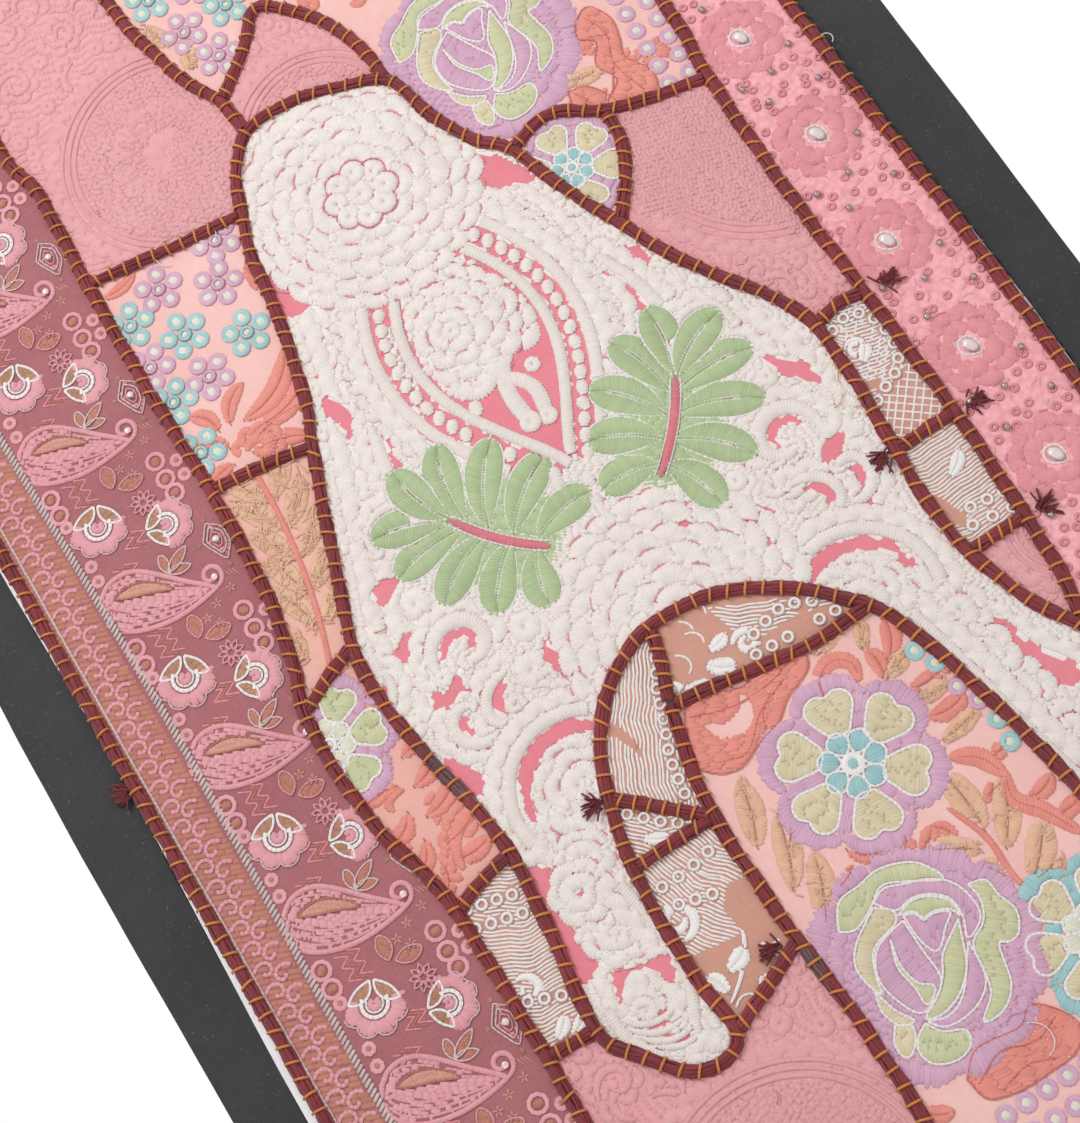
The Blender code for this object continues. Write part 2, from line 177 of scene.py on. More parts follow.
def smoothPath(points, step):
    # points about a step apart on a smooth curve through the given ones
    given = np.array(points, float)
    given = np.vstack([2 * given[0] - given[1], given, 2 * given[-1] - given[-2]])
    found = []
    for before, start, end, after in zip(given, given[1:], given[2:], given[3:]):
        count = max(1, round(np.linalg.norm(end - start) / step))
        t = np.arange(count)[:, None] / count
        found.append(0.5 * (2 * start + (end - before) * t + (2 * before - 5 * start + 4 * end - after)
            * t ** 2 + (3 * start - before - 3 * end + after) * t ** 3))
    return np.vstack(found + [given[-2]])


def along(path, pitch, offset=0.0):
    # evenly spaced places on a path: points, unit directions and the share of the way
    legs = np.diff(path, axis=0)
    lengths = np.hypot(*legs.T)
    legs, lengths = legs[lengths > 1e-6], lengths[lengths > 1e-6]
    path = path[np.concatenate([[True], np.hypot(*np.diff(path, axis=0).T) > 1e-6])]
    reached = np.concatenate([[0.0], np.cumsum(lengths)])
    count = max(2, int(reached[-1] / pitch) + 1)
    spots = np.linspace(offset, reached[-1], count, endpoint=offset == 0.0)
    index = np.clip(np.searchsorted(reached, spots, "right") - 1, 0, len(lengths) - 1)
    places = path[index] + legs[index] * ((spots - reached[index]) / lengths[index])[:, None]
    directions = legs / lengths[:, None]
    blend = directions[np.clip(index + 1, 0, len(directions) - 1)] + directions[index]
    blend += directions[np.clip(index - 1, 0, len(directions) - 1)]
    blend /= np.maximum(np.hypot(*blend.T), 1e-9)[:, None]
    return places, blend, spots / reached[-1]


def routeOf(name, step):
    points = [junctions[p] if isinstance(p, str) else p for p in cordRoutes[name]]
    if name != "edge":
        return smoothPath(points, step)
    corners = {"topRight", "footRight", "footLeft"}
    legs, leg = [], []
    for stop, point in zip(cordRoutes[name], points):
        leg.append(point)
        if stop in corners:
            legs.append(smoothPath(leg, step)[:-1])
            leg = [point]
    return np.vstack(legs + [smoothPath(leg, step)])


def measureSeams():
    # distance from each place to the nearest cord
    seams = np.vstack([routeOf(name, 4.0) for name in cordRoutes])
    tree = KDTree(len(seams))
    for k, (across, drop) in enumerate(seams):
        tree.insert((across, drop, 0.0), k)
    tree.balance()
    acrossLine = np.arange(surface["left"], surface["right"] + 1, surface["step"])
    dropLine = np.arange(surface["top"], surface["bottom"] + 1, surface["step"])
    return np.array([[tree.find((a, d, 0.0))[2] for a in acrossLine] for d in dropLine])


def makePuckers():
    step = surface["puckerStep"]
    rows = int((surface["bottom"] - surface["top"]) / step) + 2
    columns = int((surface["right"] - surface["left"]) / step) + 2
    fine = soften(rng.standard_normal((rows, columns)), 6)
    broad = soften(rng.standard_normal((rows, columns)), 40)
    return surface["pucker"] * (0.5 * fine / fine.std() + 1.1 * broad / broad.std())


foldGrid = measureFolds()
softFolds = soften(foldGrid, 3)
seamGrid = measureSeams()
puckerGrid = makePuckers()
print("surface measured")


def shiftAt(across, drop):
    # how far the soft surface stands behind the plane of the top edge
    seam = readGrid(seamGrid, surface["step"], across, drop)
    puff = surface["puff"] * (1 - np.exp(-seam / surface["puffReach"]))
    puff = puff * (np.abs(across) < panel["side"]) * (drop > panel["top"]) * (drop < panel["foot"])
    pucker = readGrid(puckerGrid, surface["puckerStep"], across, drop)
    return readGrid(softFolds, surface["step"], across, drop) - puff - pucker


def placeOn(across, drop, rise):
    return np.stack([across * mm, (shiftAt(across, drop) - rise) * mm, -drop * mm], axis=-1)


# Materials

def srgb(code):
    # a colour from its six-figure code
    parts = [int(code[k:k + 2], 16) / 255 for k in (0, 2, 4)]
    return tuple(c / 12.92 if c <= 0.04045 else ((c + 0.055) / 1.055) ** 2.4 for c in parts) + (1.0,)


def setSockets(node, sockets):
    for label, value in sockets.items():
        if isinstance(value, bpy.types.NodeSocket):
            node.id_data.links.new(value, node.inputs[label])
        else:
            node.inputs[label].default_value = value


class NodeGroup:
    # a node group, with short ways to add the nodes that cloth and thread need
    def __init__(self, name, **given):
        self.tree = bpy.data.node_groups.new(name, "ShaderNodeTree")
        self.socket("Vector", "INPUT", "Vector")
        for label, value in given.items():
            socket = self.socket(label, "INPUT", "Color" if isinstance(value, tuple) else "Float")
            socket.default_value = value
        self.socket("Colour", "OUTPUT", "Color")
        self.socket("Height", "OUTPUT", "Float")
        self.given = self.tree.nodes.new("NodeGroupInput").outputs
        self.result = self.tree.nodes.new("NodeGroupOutput")

    def socket(self, label, way, kind):
        return self.tree.interface.new_socket(label, in_out=way, socket_type="NodeSocket" + kind)

    def add(self, kind, sockets):
        node = self.tree.nodes.new("ShaderNode" + kind)
        setSockets(node, sockets)
        return node

    def mix(self, factor, first, second):
        node = self.tree.nodes.new("ShaderNodeMix")
        node.data_type = "RGBA"
        setSockets(node, {0: factor, 6: first, 7: second})
        return node.outputs[2]

    def noise(self, scale, detail=2.0, rough=0.5, vector=None):
        vector = vector or self.given["Vector"]
        sockets = {"Scale": scale, "Detail": detail, "Roughness": rough, "Vector": vector}
        return self.add("TexNoise", sockets).outputs["Fac"]

    def slubs(self, scale):
        # noise drawn out along a thread
        vector = self.add("Mapping", {"Scale": scale, "Vector": self.given["Vector"]}).outputs["Vector"]
        return self.noise(1.0, vector=vector)

    def spread(self, value, low, high):
        # stretches a value's range from low and high to 0 and 1
        return self.add("MapRange", {"From Min": low, "From Max": high, "Value": value}).outputs["Result"]

    def calc(self, how, first, second):
        node = self.tree.nodes.new("ShaderNodeMath")
        node.operation = how
        setSockets(node, {0: first, 1: second})
        return node.outputs[0]

    def times(self, first, second):
        return self.calc("MULTIPLY", first, second)

    def finish(self, colour, height):
        setSockets(self.result, {"Colour": colour, "Height": height})
        return self.tree


def makeWeaveGroup():
    # cloth made of slubby threads both ways, with broad fading and small specks; where it is worked, small
    # raised cells with painted shade in the hollows between them
    g = NodeGroup("plainWeave", Colour=(0.5, 0.5, 0.5, 1), Thread=(0.6, 0.6, 0.6, 1), Contrast=0.6,
        Fade=0.3, Speck=0.0, Worked=0.0)
    warp, weft = g.slubs((2400, 1, 130)), g.slubs((130, 1, 2400))
    threads = g.times(g.calc("ADD", g.spread(warp, 0.3, 0.7), g.spread(weft, 0.3, 0.7)), 0.5)
    colour = g.mix(g.times(threads, g.given["Contrast"]), g.given["Colour"], g.given["Thread"])
    broad = g.spread(g.noise(22.0, 4.0, 0.6), 0.35, 0.7)
    colour = g.mix(g.times(broad, g.given["Fade"]), colour, g.given["Thread"])
    specks = g.times(g.spread(g.noise(1100.0, 1.0), 0.70, 0.78), g.given["Speck"])
    colour = g.mix(specks, colour, (0.75, 0.73, 0.72, 1))
    # Worked: raised cells whose hollows are both lowered in the bump and given a painted shade of dark red
    bumps = g.add("TexVoronoi", {"Scale": 330.0, "Vector": g.given["Vector"]})
    hollowShade = g.times(g.spread(bumps.outputs["Distance"], 0.25, 0.8), g.given["Worked"])
    colour = g.mix(hollowShade, colour, (0.45, 0.16, 0.2, 1))
    return g.finish(colour, g.calc("SUBTRACT", threads, g.times(hollowShade, 4.0)))


def makeThreadGroup():
    # one thread's colour: a random tone of its own, painted shade where it dips into the cloth and in the
    # grooves between its strands, mottled along it
    g = NodeGroup("threadTone", Colour=(0.5, 0.5, 0.5, 1), Dark=(0.2, 0.2, 0.2, 1), Tint=0.5, Crest=1.0,
        Vary=0.4, Shade=0.6, Strand=0.0, Lines=0.5)
    dark, fibres, broad = g.given["Dark"], g.noise(900.0), g.noise(30.0, 3.0)
    tone = g.calc("ADD", g.times(g.given["Tint"], 0.7), g.spread(broad, 0.3, 0.9))
    colour = g.mix(g.times(tone, g.given["Vary"]), g.given["Colour"], dark)
    # painted shade: the lower a point stands on the thread (its crest), the more of the dark colour
    low = g.calc("SUBTRACT", 1.0, g.given["Crest"])
    colour = g.mix(g.times(low, g.given["Shade"]), colour, dark)
    # painted shade in the grooves between the strands, where the bump is low as well
    wave = g.calc("SINE", g.times(g.given["Strand"], tau), 0.0)
    colour = g.mix(g.times(g.spread(wave, 0.2, -1.0), g.given["Lines"]), colour, dark)
    return g.finish(colour, g.calc("ADD", fibres, wave))


weaveGroup = makeWeaveGroup()
threadGroup = makeThreadGroup()


def newMaterial(name, group, bump, roughness, sheen, **sockets):
    material = bpy.data.materials.new(name)
    material.use_nodes = True
    nodes, links = material.node_tree.nodes, material.node_tree.links
    shader, place = nodes["Principled BSDF"], nodes.new("ShaderNodeTexCoord")
    node, relief = nodes.new("ShaderNodeGroup"), nodes.new("ShaderNodeBump")
    node.node_tree = group
    setSockets(node, sockets)
    setSockets(node, {"Vector": place.outputs["Object"]})
    setSockets(relief, {"Strength": bump, "Distance": 0.0003, "Height": node.outputs["Height"]})
    setSockets(shader, {"Roughness": roughness, "Sheen Weight": sheen, "Base Color": node.outputs["Colour"],
        "Normal": relief.outputs["Normal"]})
    return material, node


def clothMaterial(name, colour, thread, contrast=0.6, fade=0.3, speck=0.0, roughness=0.85, sheen=0.1,
                  worked=0.0):
    return newMaterial(name, weaveGroup, 0.5, roughness, sheen, Colour=srgb(colour), Thread=srgb(thread),
        Contrast=contrast, Fade=fade, Speck=speck, Worked=worked)[0]


def threadMaterial(name, colour, dark, vary=0.35, shade=0.6, lines=0.5, roughness=0.55, sheen=0.25):
    material, node = newMaterial("thread_" + name, threadGroup, 0.35, roughness, sheen, Colour=srgb(colour),
        Dark=srgb(dark), Vary=vary, Shade=shade, Lines=lines)
    for label in ("tint", "crest", "strand"):
        attribute = material.node_tree.nodes.new("ShaderNodeAttribute")
        attribute.attribute_name = label
        setSockets(node, {label.capitalize(): attribute.outputs["Fac"]})
    return material


# Cloth colours: ground, thread
clothLooks = {
    "black_cotton": ("222123", "3e3d40",
        dict(contrast=0.5, fade=0.35, speck=0.15, roughness=0.78, sheen=0.15)),
    "white_lining": ("eceaec", "fcfafa", dict(fade=0.2)),
    "mauve_sari": ("94525a", "b57478", dict(contrast=0.8, fade=0.45)),
    "rose_sari": ("f6a2ab", "fecacd", dict(contrast=0.5, fade=0.4, worked=0.3)),
    "white_embroidery": ("de7686", "ee98a0", {}),
    "pink_embroidery": ("e49ca0", "f0b5b7", dict(fade=0.5, worked=0.22)),
    "peach_floral": ("e8aea7", "f6d0ca", dict(fade=0.5)),
    "coral_floral": ("e09e94", "eeb8ac", dict(fade=0.5)),
    "tan_floral": ("e4a89a", "f0c4b8", dict(fade=0.5)),
    "tan_net": ("c48a78", "d6a492", dict(contrast=0.7, fade=0.4)),
}
cloths = {
    name: clothMaterial(name, ground, thread, **look) for name, (ground, thread, look) in clothLooks.items()
}


# Sheets of cloth

patchSlots = {
    "strip_mauve_paisley": "mauve_sari", "strip_rose_beaded": "rose_sari",
    "figure_white": "white_embroidery",
    "rose_fan_left": "pink_embroidery", "rose_triangle": "pink_embroidery",
    "rose_fan_low": "pink_embroidery", "rose_fan_right": "pink_embroidery",
    "rose_right": "pink_embroidery", "rose_foot": "pink_embroidery",
    "floral_top": "peach_floral", "cluster_left": "peach_floral", "floral_arch": "peach_floral",
    "petal_right": "peach_floral", "cluster_low": "peach_floral",
    "floral_corner": "coral_floral", "coral_left": "coral_floral",
    "tan_leaf_left": "tan_floral", "tan_leaf_low": "tan_floral",
    "net_top": "tan_net", "net_left": "tan_net", "net_arch_low": "tan_net",
    "net_arch_wedge": "tan_net", "net_arch_side": "tan_net", "net_arch_top": "tan_net",
    "net_right_high": "tan_net", "net_right_low": "tan_net",
}
sheetCuts = {  # step: how far apart the cloth is cut so that it can bend
    "backing": {"nodes": ["backing_cloth"], "step": 14.0},
    "lining": {"nodes": ["lining_cloth"], "step": 20.0},
    "border": {"nodes": ["border_left", "border_right", "border_top", "border_bottom"], "step": 6.0},
    "patch": {"nodes": list(patchSlots), "step": 8.0},
}


def slotOf(node):
    if node in patchSlots:
        return patchSlots[node]
    return "white_lining" if node == "lining_cloth" else "black_cotton"


def softSheet(node, layer, step):
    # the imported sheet, cut into small squares and laid on the soft surface
    bm = bmesh.new()
    bm.from_mesh(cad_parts[node].data)
    bmesh.ops.remove_doubles(bm, verts=bm.verts, dist=0.00002)
    bmesh.ops.dissolve_limit(bm, angle_limit=radians(1), verts=bm.verts, edges=bm.edges)
    low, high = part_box(node)
    for axis, normal in ((0, (1, 0, 0)), (2, (0, 0, 1))):
        first, last = low[axis] / mm, high[axis] / mm
        for place in np.arange(ceil(first / step) * step, last, step):
            point = [0.0, 0.0, 0.0]
            point[axis] = place * mm
            bmesh.ops.bisect_plane(bm, geom=bm.verts[:] + bm.edges[:] + bm.faces[:], dist=0.00001,
                plane_co=point, plane_no=normal)
    bm.normal_update()
    co = np.array([v.co for v in bm.verts])
    behind = np.array([any(f.normal.y > 0.5 for f in v.link_faces) for v in bm.verts])
    across, drop = co[:, 0] / mm, -co[:, 2] / mm
    rise = np.where(behind, *cloth[layer])
    for vertex, target in zip(bm.verts, placeOn(across, drop, rise)):
        vertex.co = target
    mesh = bpy.data.meshes.new(node + "_sheet")
    bm.to_mesh(mesh)
    bm.free()
    mesh.shade_smooth()
    mesh.set_sharp_from_angle(angle=radians(40))
    return mesh


def addPiece(name, mesh, slot, *nodes):
    piece = bpy.data.objects.new(name, mesh)
    bpy.context.scene.collection.objects.link(piece)
    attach(piece, "root")
    if nodes:
        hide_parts(*nodes)
    return piece


for layer, cut in sheetCuts.items():
    for node in cut["nodes"]:
        mesh = softSheet(node, layer, cut["step"])
        mesh.materials.append(cloths[slotOf(node)])
        piece = addPiece(node + "_sheet", mesh, slotOf(node), node)
        low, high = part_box(node)
print("cloth cut and hung")


# Small shapes that are laid in their hundreds, each about 1 long, 1 wide and 1 high

def shapeOf(bm):
    bmesh.ops.triangulate(bm, faces=bm.faces)
    bmesh.ops.recalc_face_normals(bm, faces=bm.faces)
    bm.verts.ensure_lookup_table()
    points = np.array([v.co for v in bm.verts])
    faces = np.array([[v.index for v in f.verts] for f in bm.faces])
    bm.free()
    return points, faces, points[:, 1] * 4


def roundStrands(shape, count):
    # strands that lie across a ring's wall instead of along a thread
    points, faces, _ = shape
    return points, faces, np.arctan2(points[:, 1], points[:, 0]) * count / tau


def threadShape():
    # a rounded thread with both ends drawn down into the cloth
    bm = bmesh.new()
    bmesh.ops.create_uvsphere(bm, u_segments=3, v_segments=3, radius=0.5)
    bmesh.ops.rotate(bm, verts=bm.verts, matrix=Matrix.Rotation(radians(90), 3, "Y"))
    for v in bm.verts:
        if abs(v.co.x) > 0.45:
            v.co = (copysign(0.5, v.co.x), 0.0, 0.0)
        else:
            top = v.co.z > 0.3 or abs(v.co.y) < 0.05
            beside = 0.0 if top else copysign(0.5, v.co.y)
            v.co = (copysign(0.38, v.co.x), beside, 1.0 if top else 0.45)
    return shapeOf(bm)


def ringShape(around, wall):
    bm = bmesh.new()
    bmesh.ops.create_circle(bm, segments=4, radius=wall)
    bmesh.ops.rotate(bm, verts=bm.verts, matrix=Matrix.Rotation(radians(90), 3, "X"))
    bmesh.ops.translate(bm, verts=bm.verts, vec=(0.52 - wall, 0, wall))
    bmesh.ops.spin(bm, geom=bm.verts[:] + bm.edges[:], cent=(0, 0, 0), axis=(0, 0, 1), angle=tau,
        steps=around, use_merge=True)
    bmesh.ops.remove_doubles(bm, verts=bm.verts, dist=0.001)
    for v in bm.verts:
        v.co.z /= 2 * wall
    return shapeOf(bm)


def beadShape():
    bm = bmesh.new()
    bmesh.ops.create_uvsphere(bm, u_segments=10, v_segments=7, radius=0.5)
    bmesh.ops.translate(bm, verts=bm.verts, vec=(0, 0, 0.5))
    return shapeOf(bm)


def archShape():
    # a thread over a cord: a half hoop whose feet stand in the cloth on both sides
    bm = bmesh.new()
    bmesh.ops.create_cone(bm, cap_ends=True, segments=4, radius1=0.5, radius2=0.5, depth=1.0)
    bmesh.ops.rotate(bm, verts=bm.verts, matrix=Matrix.Rotation(radians(90), 3, "Y"))
    for k in range(1, 6):
        bmesh.ops.bisect_plane(bm, geom=bm.verts[:] + bm.edges[:] + bm.faces[:],
            plane_co=(k / 6 - 0.5, 0, 0), plane_no=(1, 0, 0))
    for v in bm.verts:
        turn = pi * v.co.x
        v.co = (sin(turn) * (0.5 + 0.12 * v.co.z), v.co.y, max(0.0, cos(turn)) ** 0.6 * (1 + 0.23 * v.co.z))
    return shapeOf(bm)


shapes = {
    "thread": threadShape(),
    "ring": roundStrands(ringShape(10, 0.15), 26), "thinRing": roundStrands(ringShape(10, 0.1), 26),
    "smallRing": roundStrands(ringShape(8, 0.17), 17),
    "bead": beadShape(), "arch": archShape(),
}


# Laying the small shapes on the cloth

corner = (surface["left"], surface["top"])
cell = 0.5  # millimetres to a square of the map that says which patch lies where
mapRows = int((surface["bottom"] - surface["top"]) / cell)
mapColumns = int((surface["right"] - surface["left"]) / cell)
patchMap = np.zeros((mapRows, mapColumns), np.int8)
taken = np.zeros((mapRows, mapColumns), bool)
patchNumber = {name: k + 1 for k, name in enumerate(patchSlots)}
base = {"stitch": 3.88, "cord": 3.9, "top": 4.0}  # where small shapes stand
laid, pending = {}, []
hoop = {"patch": None}  # what is being sewn


def cellsOf(across, drop):
    i = ((drop - surface["top"]) / cell).astype(int).clip(0, mapRows - 1)
    j = ((across - surface["left"]) / cell).astype(int).clip(0, mapColumns - 1)
    return i, j


def mapPatch(name):
    # marks the squares of the map that the patch's face covers
    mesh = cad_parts[name].data
    co = np.array([v.co for v in mesh.vertices])
    flat = np.stack([co[:, 0] / mm - surface["left"], -co[:, 2] / mm - surface["top"]], axis=1) / cell
    for polygon in mesh.polygons:
        if polygon.normal.y > -0.5:
            continue
        a, b, c = flat[list(polygon.vertices)]
        low = np.floor(np.minimum(np.minimum(a, b), c)).astype(int)
        high = np.ceil(np.maximum(np.maximum(a, b), c)).astype(int) + 1
        x, y = np.meshgrid(np.arange(low[0], high[0]) + 0.5, np.arange(low[1], high[1]) + 0.5)
        sides = [(q[0] - p[0]) * (y - p[1]) - (q[1] - p[1]) * (x - p[0]) for p,
            q in ((a, b), (b, c), (c, a))]
        inside = (np.minimum.reduce(sides) >= 0) | (np.maximum.reduce(sides) <= 0)
        patchMap[low[1]:high[1], low[0]:high[0]][inside] = patchNumber[name]


for name in patchSlots:
    mapPatch(name)


def takeUp(patch):
    hoop["patch"] = patch


def lay(colour, shape, across, drop, angle, long, wide, high, lift=0.0):
    columns = np.broadcast_arrays(across, drop, angle, long, wide, high, lift)
    rows = np.stack([np.asarray(c, float).ravel() for c in columns], axis=1)
    laid.setdefault(hoop["patch"], {}).setdefault((colour, shape), []).append(rows)


def isFree(across, drop, over=False, within=None):
    i, j = cellsOf(across, drop)
    free = patchMap[i, j] == patchNumber[hoop["patch"]]
    if within is not None:
        free &= within[i, j]
    return free if over else free & ~taken[i, j]


def sew(colour, starts, ends, wide=0.85, high=0.6, lift=0.0, over=False, least=0.9):
    # threads from starts to ends, cut to the stretch through their middle that is free
    starts, ends = np.atleast_2d(starts), np.atleast_2d(ends)
    share = np.linspace(0, 1, 17)
    spots = starts[:, None] + (ends - starts)[:, None] * share[None, :, None]
    free = isFree(spots[..., 0], spots[..., 1], over)
    first, last = np.full(len(starts), 8), np.full(len(starts), 8)
    for reach, steps in ((last, range(9, 17)), (first, range(7, -1, -1))):
        alive = free[:, 8].copy()
        for k in steps:
            alive &= free[:, k]
            reach[alive] = k
    length = np.hypot(*(ends - starts).T)
    kept = free[:, 8] & ((share[last] - share[first]) * length >= np.minimum(least, length * 0.9))
    if not kept.any():
        return
    way = (ends - starts)[kept]
    begin = starts[kept] + way * share[first[kept]][:, None]
    end = starts[kept] + way * share[last[kept]][:, None]
    middle, way = (begin + end) / 2, end - begin
    lay(colour, "thread", *middle.T, np.arctan2(way[:, 1], way[:, 0]), np.hypot(*way.T) + 0.5, wide, high,
        lift)
    spots = begin[:, None] + way[:, None] * share[None, :, None]
    pending.append(spots.reshape(-1, 2))


def settle(margin=0.7):
    # the threads sewn since the last call now keep other threads away
    if not pending:
        return
    spots = np.vstack(pending)
    for a, d in ((0, 0), (margin, 0), (-margin, 0), (0, margin), (0, -margin)):
        taken[cellsOf(spots[:, 0] + a, spots[:, 1] + d)] = True
    pending.clear()


def placeShapes(patch, foot):
    # all the shapes laid on a patch, as the arrays of one mesh
    points, faces, slots, slotNames = [], [], [], []
    marks = {"tint": [], "crest": [], "strand": []}
    count = 0
    for (colour, shape), rows in sorted(laid.pop(patch).items()):
        rows = np.vstack(rows)
        template, corners, strands = shapes[shape]
        if colour not in slotNames:
            slotNames.append(colour)
        local = template[None] * rows[:, None, 3:6]
        x, y = local[:, :, 0], local[:, :, 1]
        cosine, sine = np.cos(rows[:, 2:3]), np.sin(rows[:, 2:3])
        across = rows[:, 0:1] + x * cosine - y * sine
        drop = rows[:, 1:2] + x * sine + y * cosine
        rise = foot + rows[:, 6:7] + local[:, :, 2]
        points.append(placeOn(across, drop, rise).reshape(-1, 3))
        starts = count + np.arange(len(rows)) * len(template)
        faces.append((corners[None, :, ::-1] + starts[:, None, None]).reshape(-1, 3))
        slots.append(np.full(len(rows) * len(corners), slotNames.index(colour)))
        marks["tint"].append(np.repeat(rng.random(len(rows)), len(template)))
        # crest: height on the thread, which the thread material turns into painted shade lower down
        marks["crest"].append(np.tile(np.clip(template[:, 2], 0, 1), len(rows)))
        marks["strand"].append(np.tile(strands, len(rows)))
        count += len(rows) * len(template)
    mesh = bpy.data.meshes.new(patch + "_stitches")
    points, faces = np.vstack(points), np.vstack(faces)
    mesh.vertices.add(len(points))
    mesh.vertices.foreach_set("co", points.astype(np.float32).ravel())
    mesh.loops.add(faces.size)
    mesh.loops.foreach_set("vertex_index", faces.astype(np.int32).ravel())
    mesh.polygons.add(len(faces))
    mesh.polygons.foreach_set("loop_start", np.arange(0, faces.size, 3, dtype=np.int32))
    mesh.polygons.foreach_set("material_index", np.concatenate(slots).astype(np.int32))
    for label, values in marks.items():
        attribute = mesh.attributes.new(label, "FLOAT", "POINT")
        attribute.data.foreach_set("value", np.concatenate(values).astype(np.float32))
    mesh.update(calc_edges=True)
    mesh.shade_smooth()
    mesh.set_sharp_from_angle(angle=radians(118))
    for colour in slotNames:
        mesh.materials.append(threads[colour])
    return mesh


# Thread colours: thread, the shade between threads, and what differs from plain thread
threadLooks = {
    "gold": ("f09830", "b05c1a", dict(roughness=0.45)),
    "maroon": ("9e3e44", "5c2028", dict(vary=0.6, roughness=0.85, sheen=0.1)),
    "maroonWorn": ("8a6464", "46282c", dict(vary=0.6, roughness=0.85, sheen=0.0)),
    "white": ("fcf7f2", "dac6c0", dict(vary=0.25, shade=0.6, lines=0.6, roughness=0.6)),
    "clear": ("fcfaf8", "dcd0ce", dict(vary=0.15, shade=0.4, roughness=0.5)),
    "shell": ("eedad8", "c4a0a4", dict(vary=0.25, shade=0.5)),
    "leafGreen": ("c4d4a6", "92a676", dict(shade=0.5, roughness=0.5)), "sage": ("eee4c2", "c2b08c", {}),
    "paleGreen": ("e0e2ba", "b2b286", {}), "purple": ("e7bcd4", "bc88a8", {}),
    "cyan": ("b8dede", "78acb2", {}), "cream": ("f0f0e0", "cec8b0", dict(shade=0.4)),
    "coral": ("f7a293", "d4766a", {}), "coralDeep": ("e68478", "c4625a", {}),
    "tan": ("f8ccac", "ca9878", {}), "tanDeep": ("d89e7c", "a8745a", {}),
    "pink": ("f0b2b8", "ce808c", {}), "deepPink": ("e88894", "cc6876", {}),
    "slitPink": ("f0a0a8", "de8692", {}), "rose": ("f0a2a8", "d47c86", {}),
    "rosePale": ("f4bcc0", "dc9098", {}), "roseDeep": ("f09ca6", "d67a86", {}),
    "blush": ("eeb2b5", "d48e93", {}), "copper": ("ce8874", "a05c4c", {}),
    "bronze": ("ce987a", "8e5c48", {}), "gold2": ("e2a896", "b8766a", {}),
    "silver": ("e8d8d4", "ac9290", dict(roughness=0.4)),
    "pearl": ("ece2e0", "cebab8", dict(vary=0.2, shade=0.0, roughness=0.12, sheen=0.0)),
    "steelBead": ("cec4c4", "968a8c", dict(shade=0.0, roughness=0.16, sheen=0.0)),
    "sequin": ("f0d6d8", "d6aab2", dict(shade=0.0, roughness=0.1, sheen=0.0)),
}
threads = {
    name: threadMaterial(name, colour, dark, **look) for name, (colour, dark, look) in threadLooks.items()
}
threads["steelBead"].node_tree.nodes["Principled BSDF"].inputs["Metallic"].default_value = 0.8
for name in ("pearl", "sequin"):
    threads[name].node_tree.nodes["Principled BSDF"].inputs["Coat Weight"].default_value = 0.8


# Yarn laid over the seams and sewn down with gold thread

yarn = {
    "strands": [  # beside the middle line, above the cord's foot, radius
        (-2.35, 0.7, 0.85), (-1.75, 1.75, 0.85), (-0.7, 2.45, 0.9), (0.55, 2.5, 0.9), (1.65, 1.8, 0.85),
        (2.35, 0.75, 0.85),
    ],
    "step": 3.6,
    "wander": 0.4, "wanderLength": 34.0,
    "couching": 7.7, "pinch": 0.22, "pinchReach": 1.7,
    "threadWide": 1.15, "overlap": 0.7,
    "tuck": 2.2,
    "worn": [((-98, 560), 17), ((-20, 720), 10), ((-14, 712), 9)],  # place, how far round it
}


def crossedAt(name, junction):
    # whether another cord runs on through the junction, or was laid there first
    names = list(cordRoutes)
    for other in names:
        stops = cordRoutes[other]
        if other == name or junction not in stops:
            continue
        inner = 0 < stops.index(junction) < len(stops) - 1
        if inner or names.index(other) < names.index(name):
            return True
    return False


def trimmed(path, by):
    reached = np.concatenate([[0.0], np.cumsum(np.hypot(*np.diff(path, axis=0).T))])
    kept = path[reached > by]
    at = [np.interp(by, reached, path[:, k]) for k in (0, 1)]
    return np.vstack([at, kept])


def cordLine(name):
    path = routeOf(name, yarn["step"])
    if name == "edge":
        return path
    for stop in (cordRoutes[name][0], cordRoutes[name][-1]):
        path = (trimmed(path, yarn["tuck"]) if crossedAt(name, stop) else path)[::-1]
    return path


def couchPlaces(path):
    places, ways, _ = along(path, yarn["couching"], yarn["couching"] * 0.4)
    return places, ways


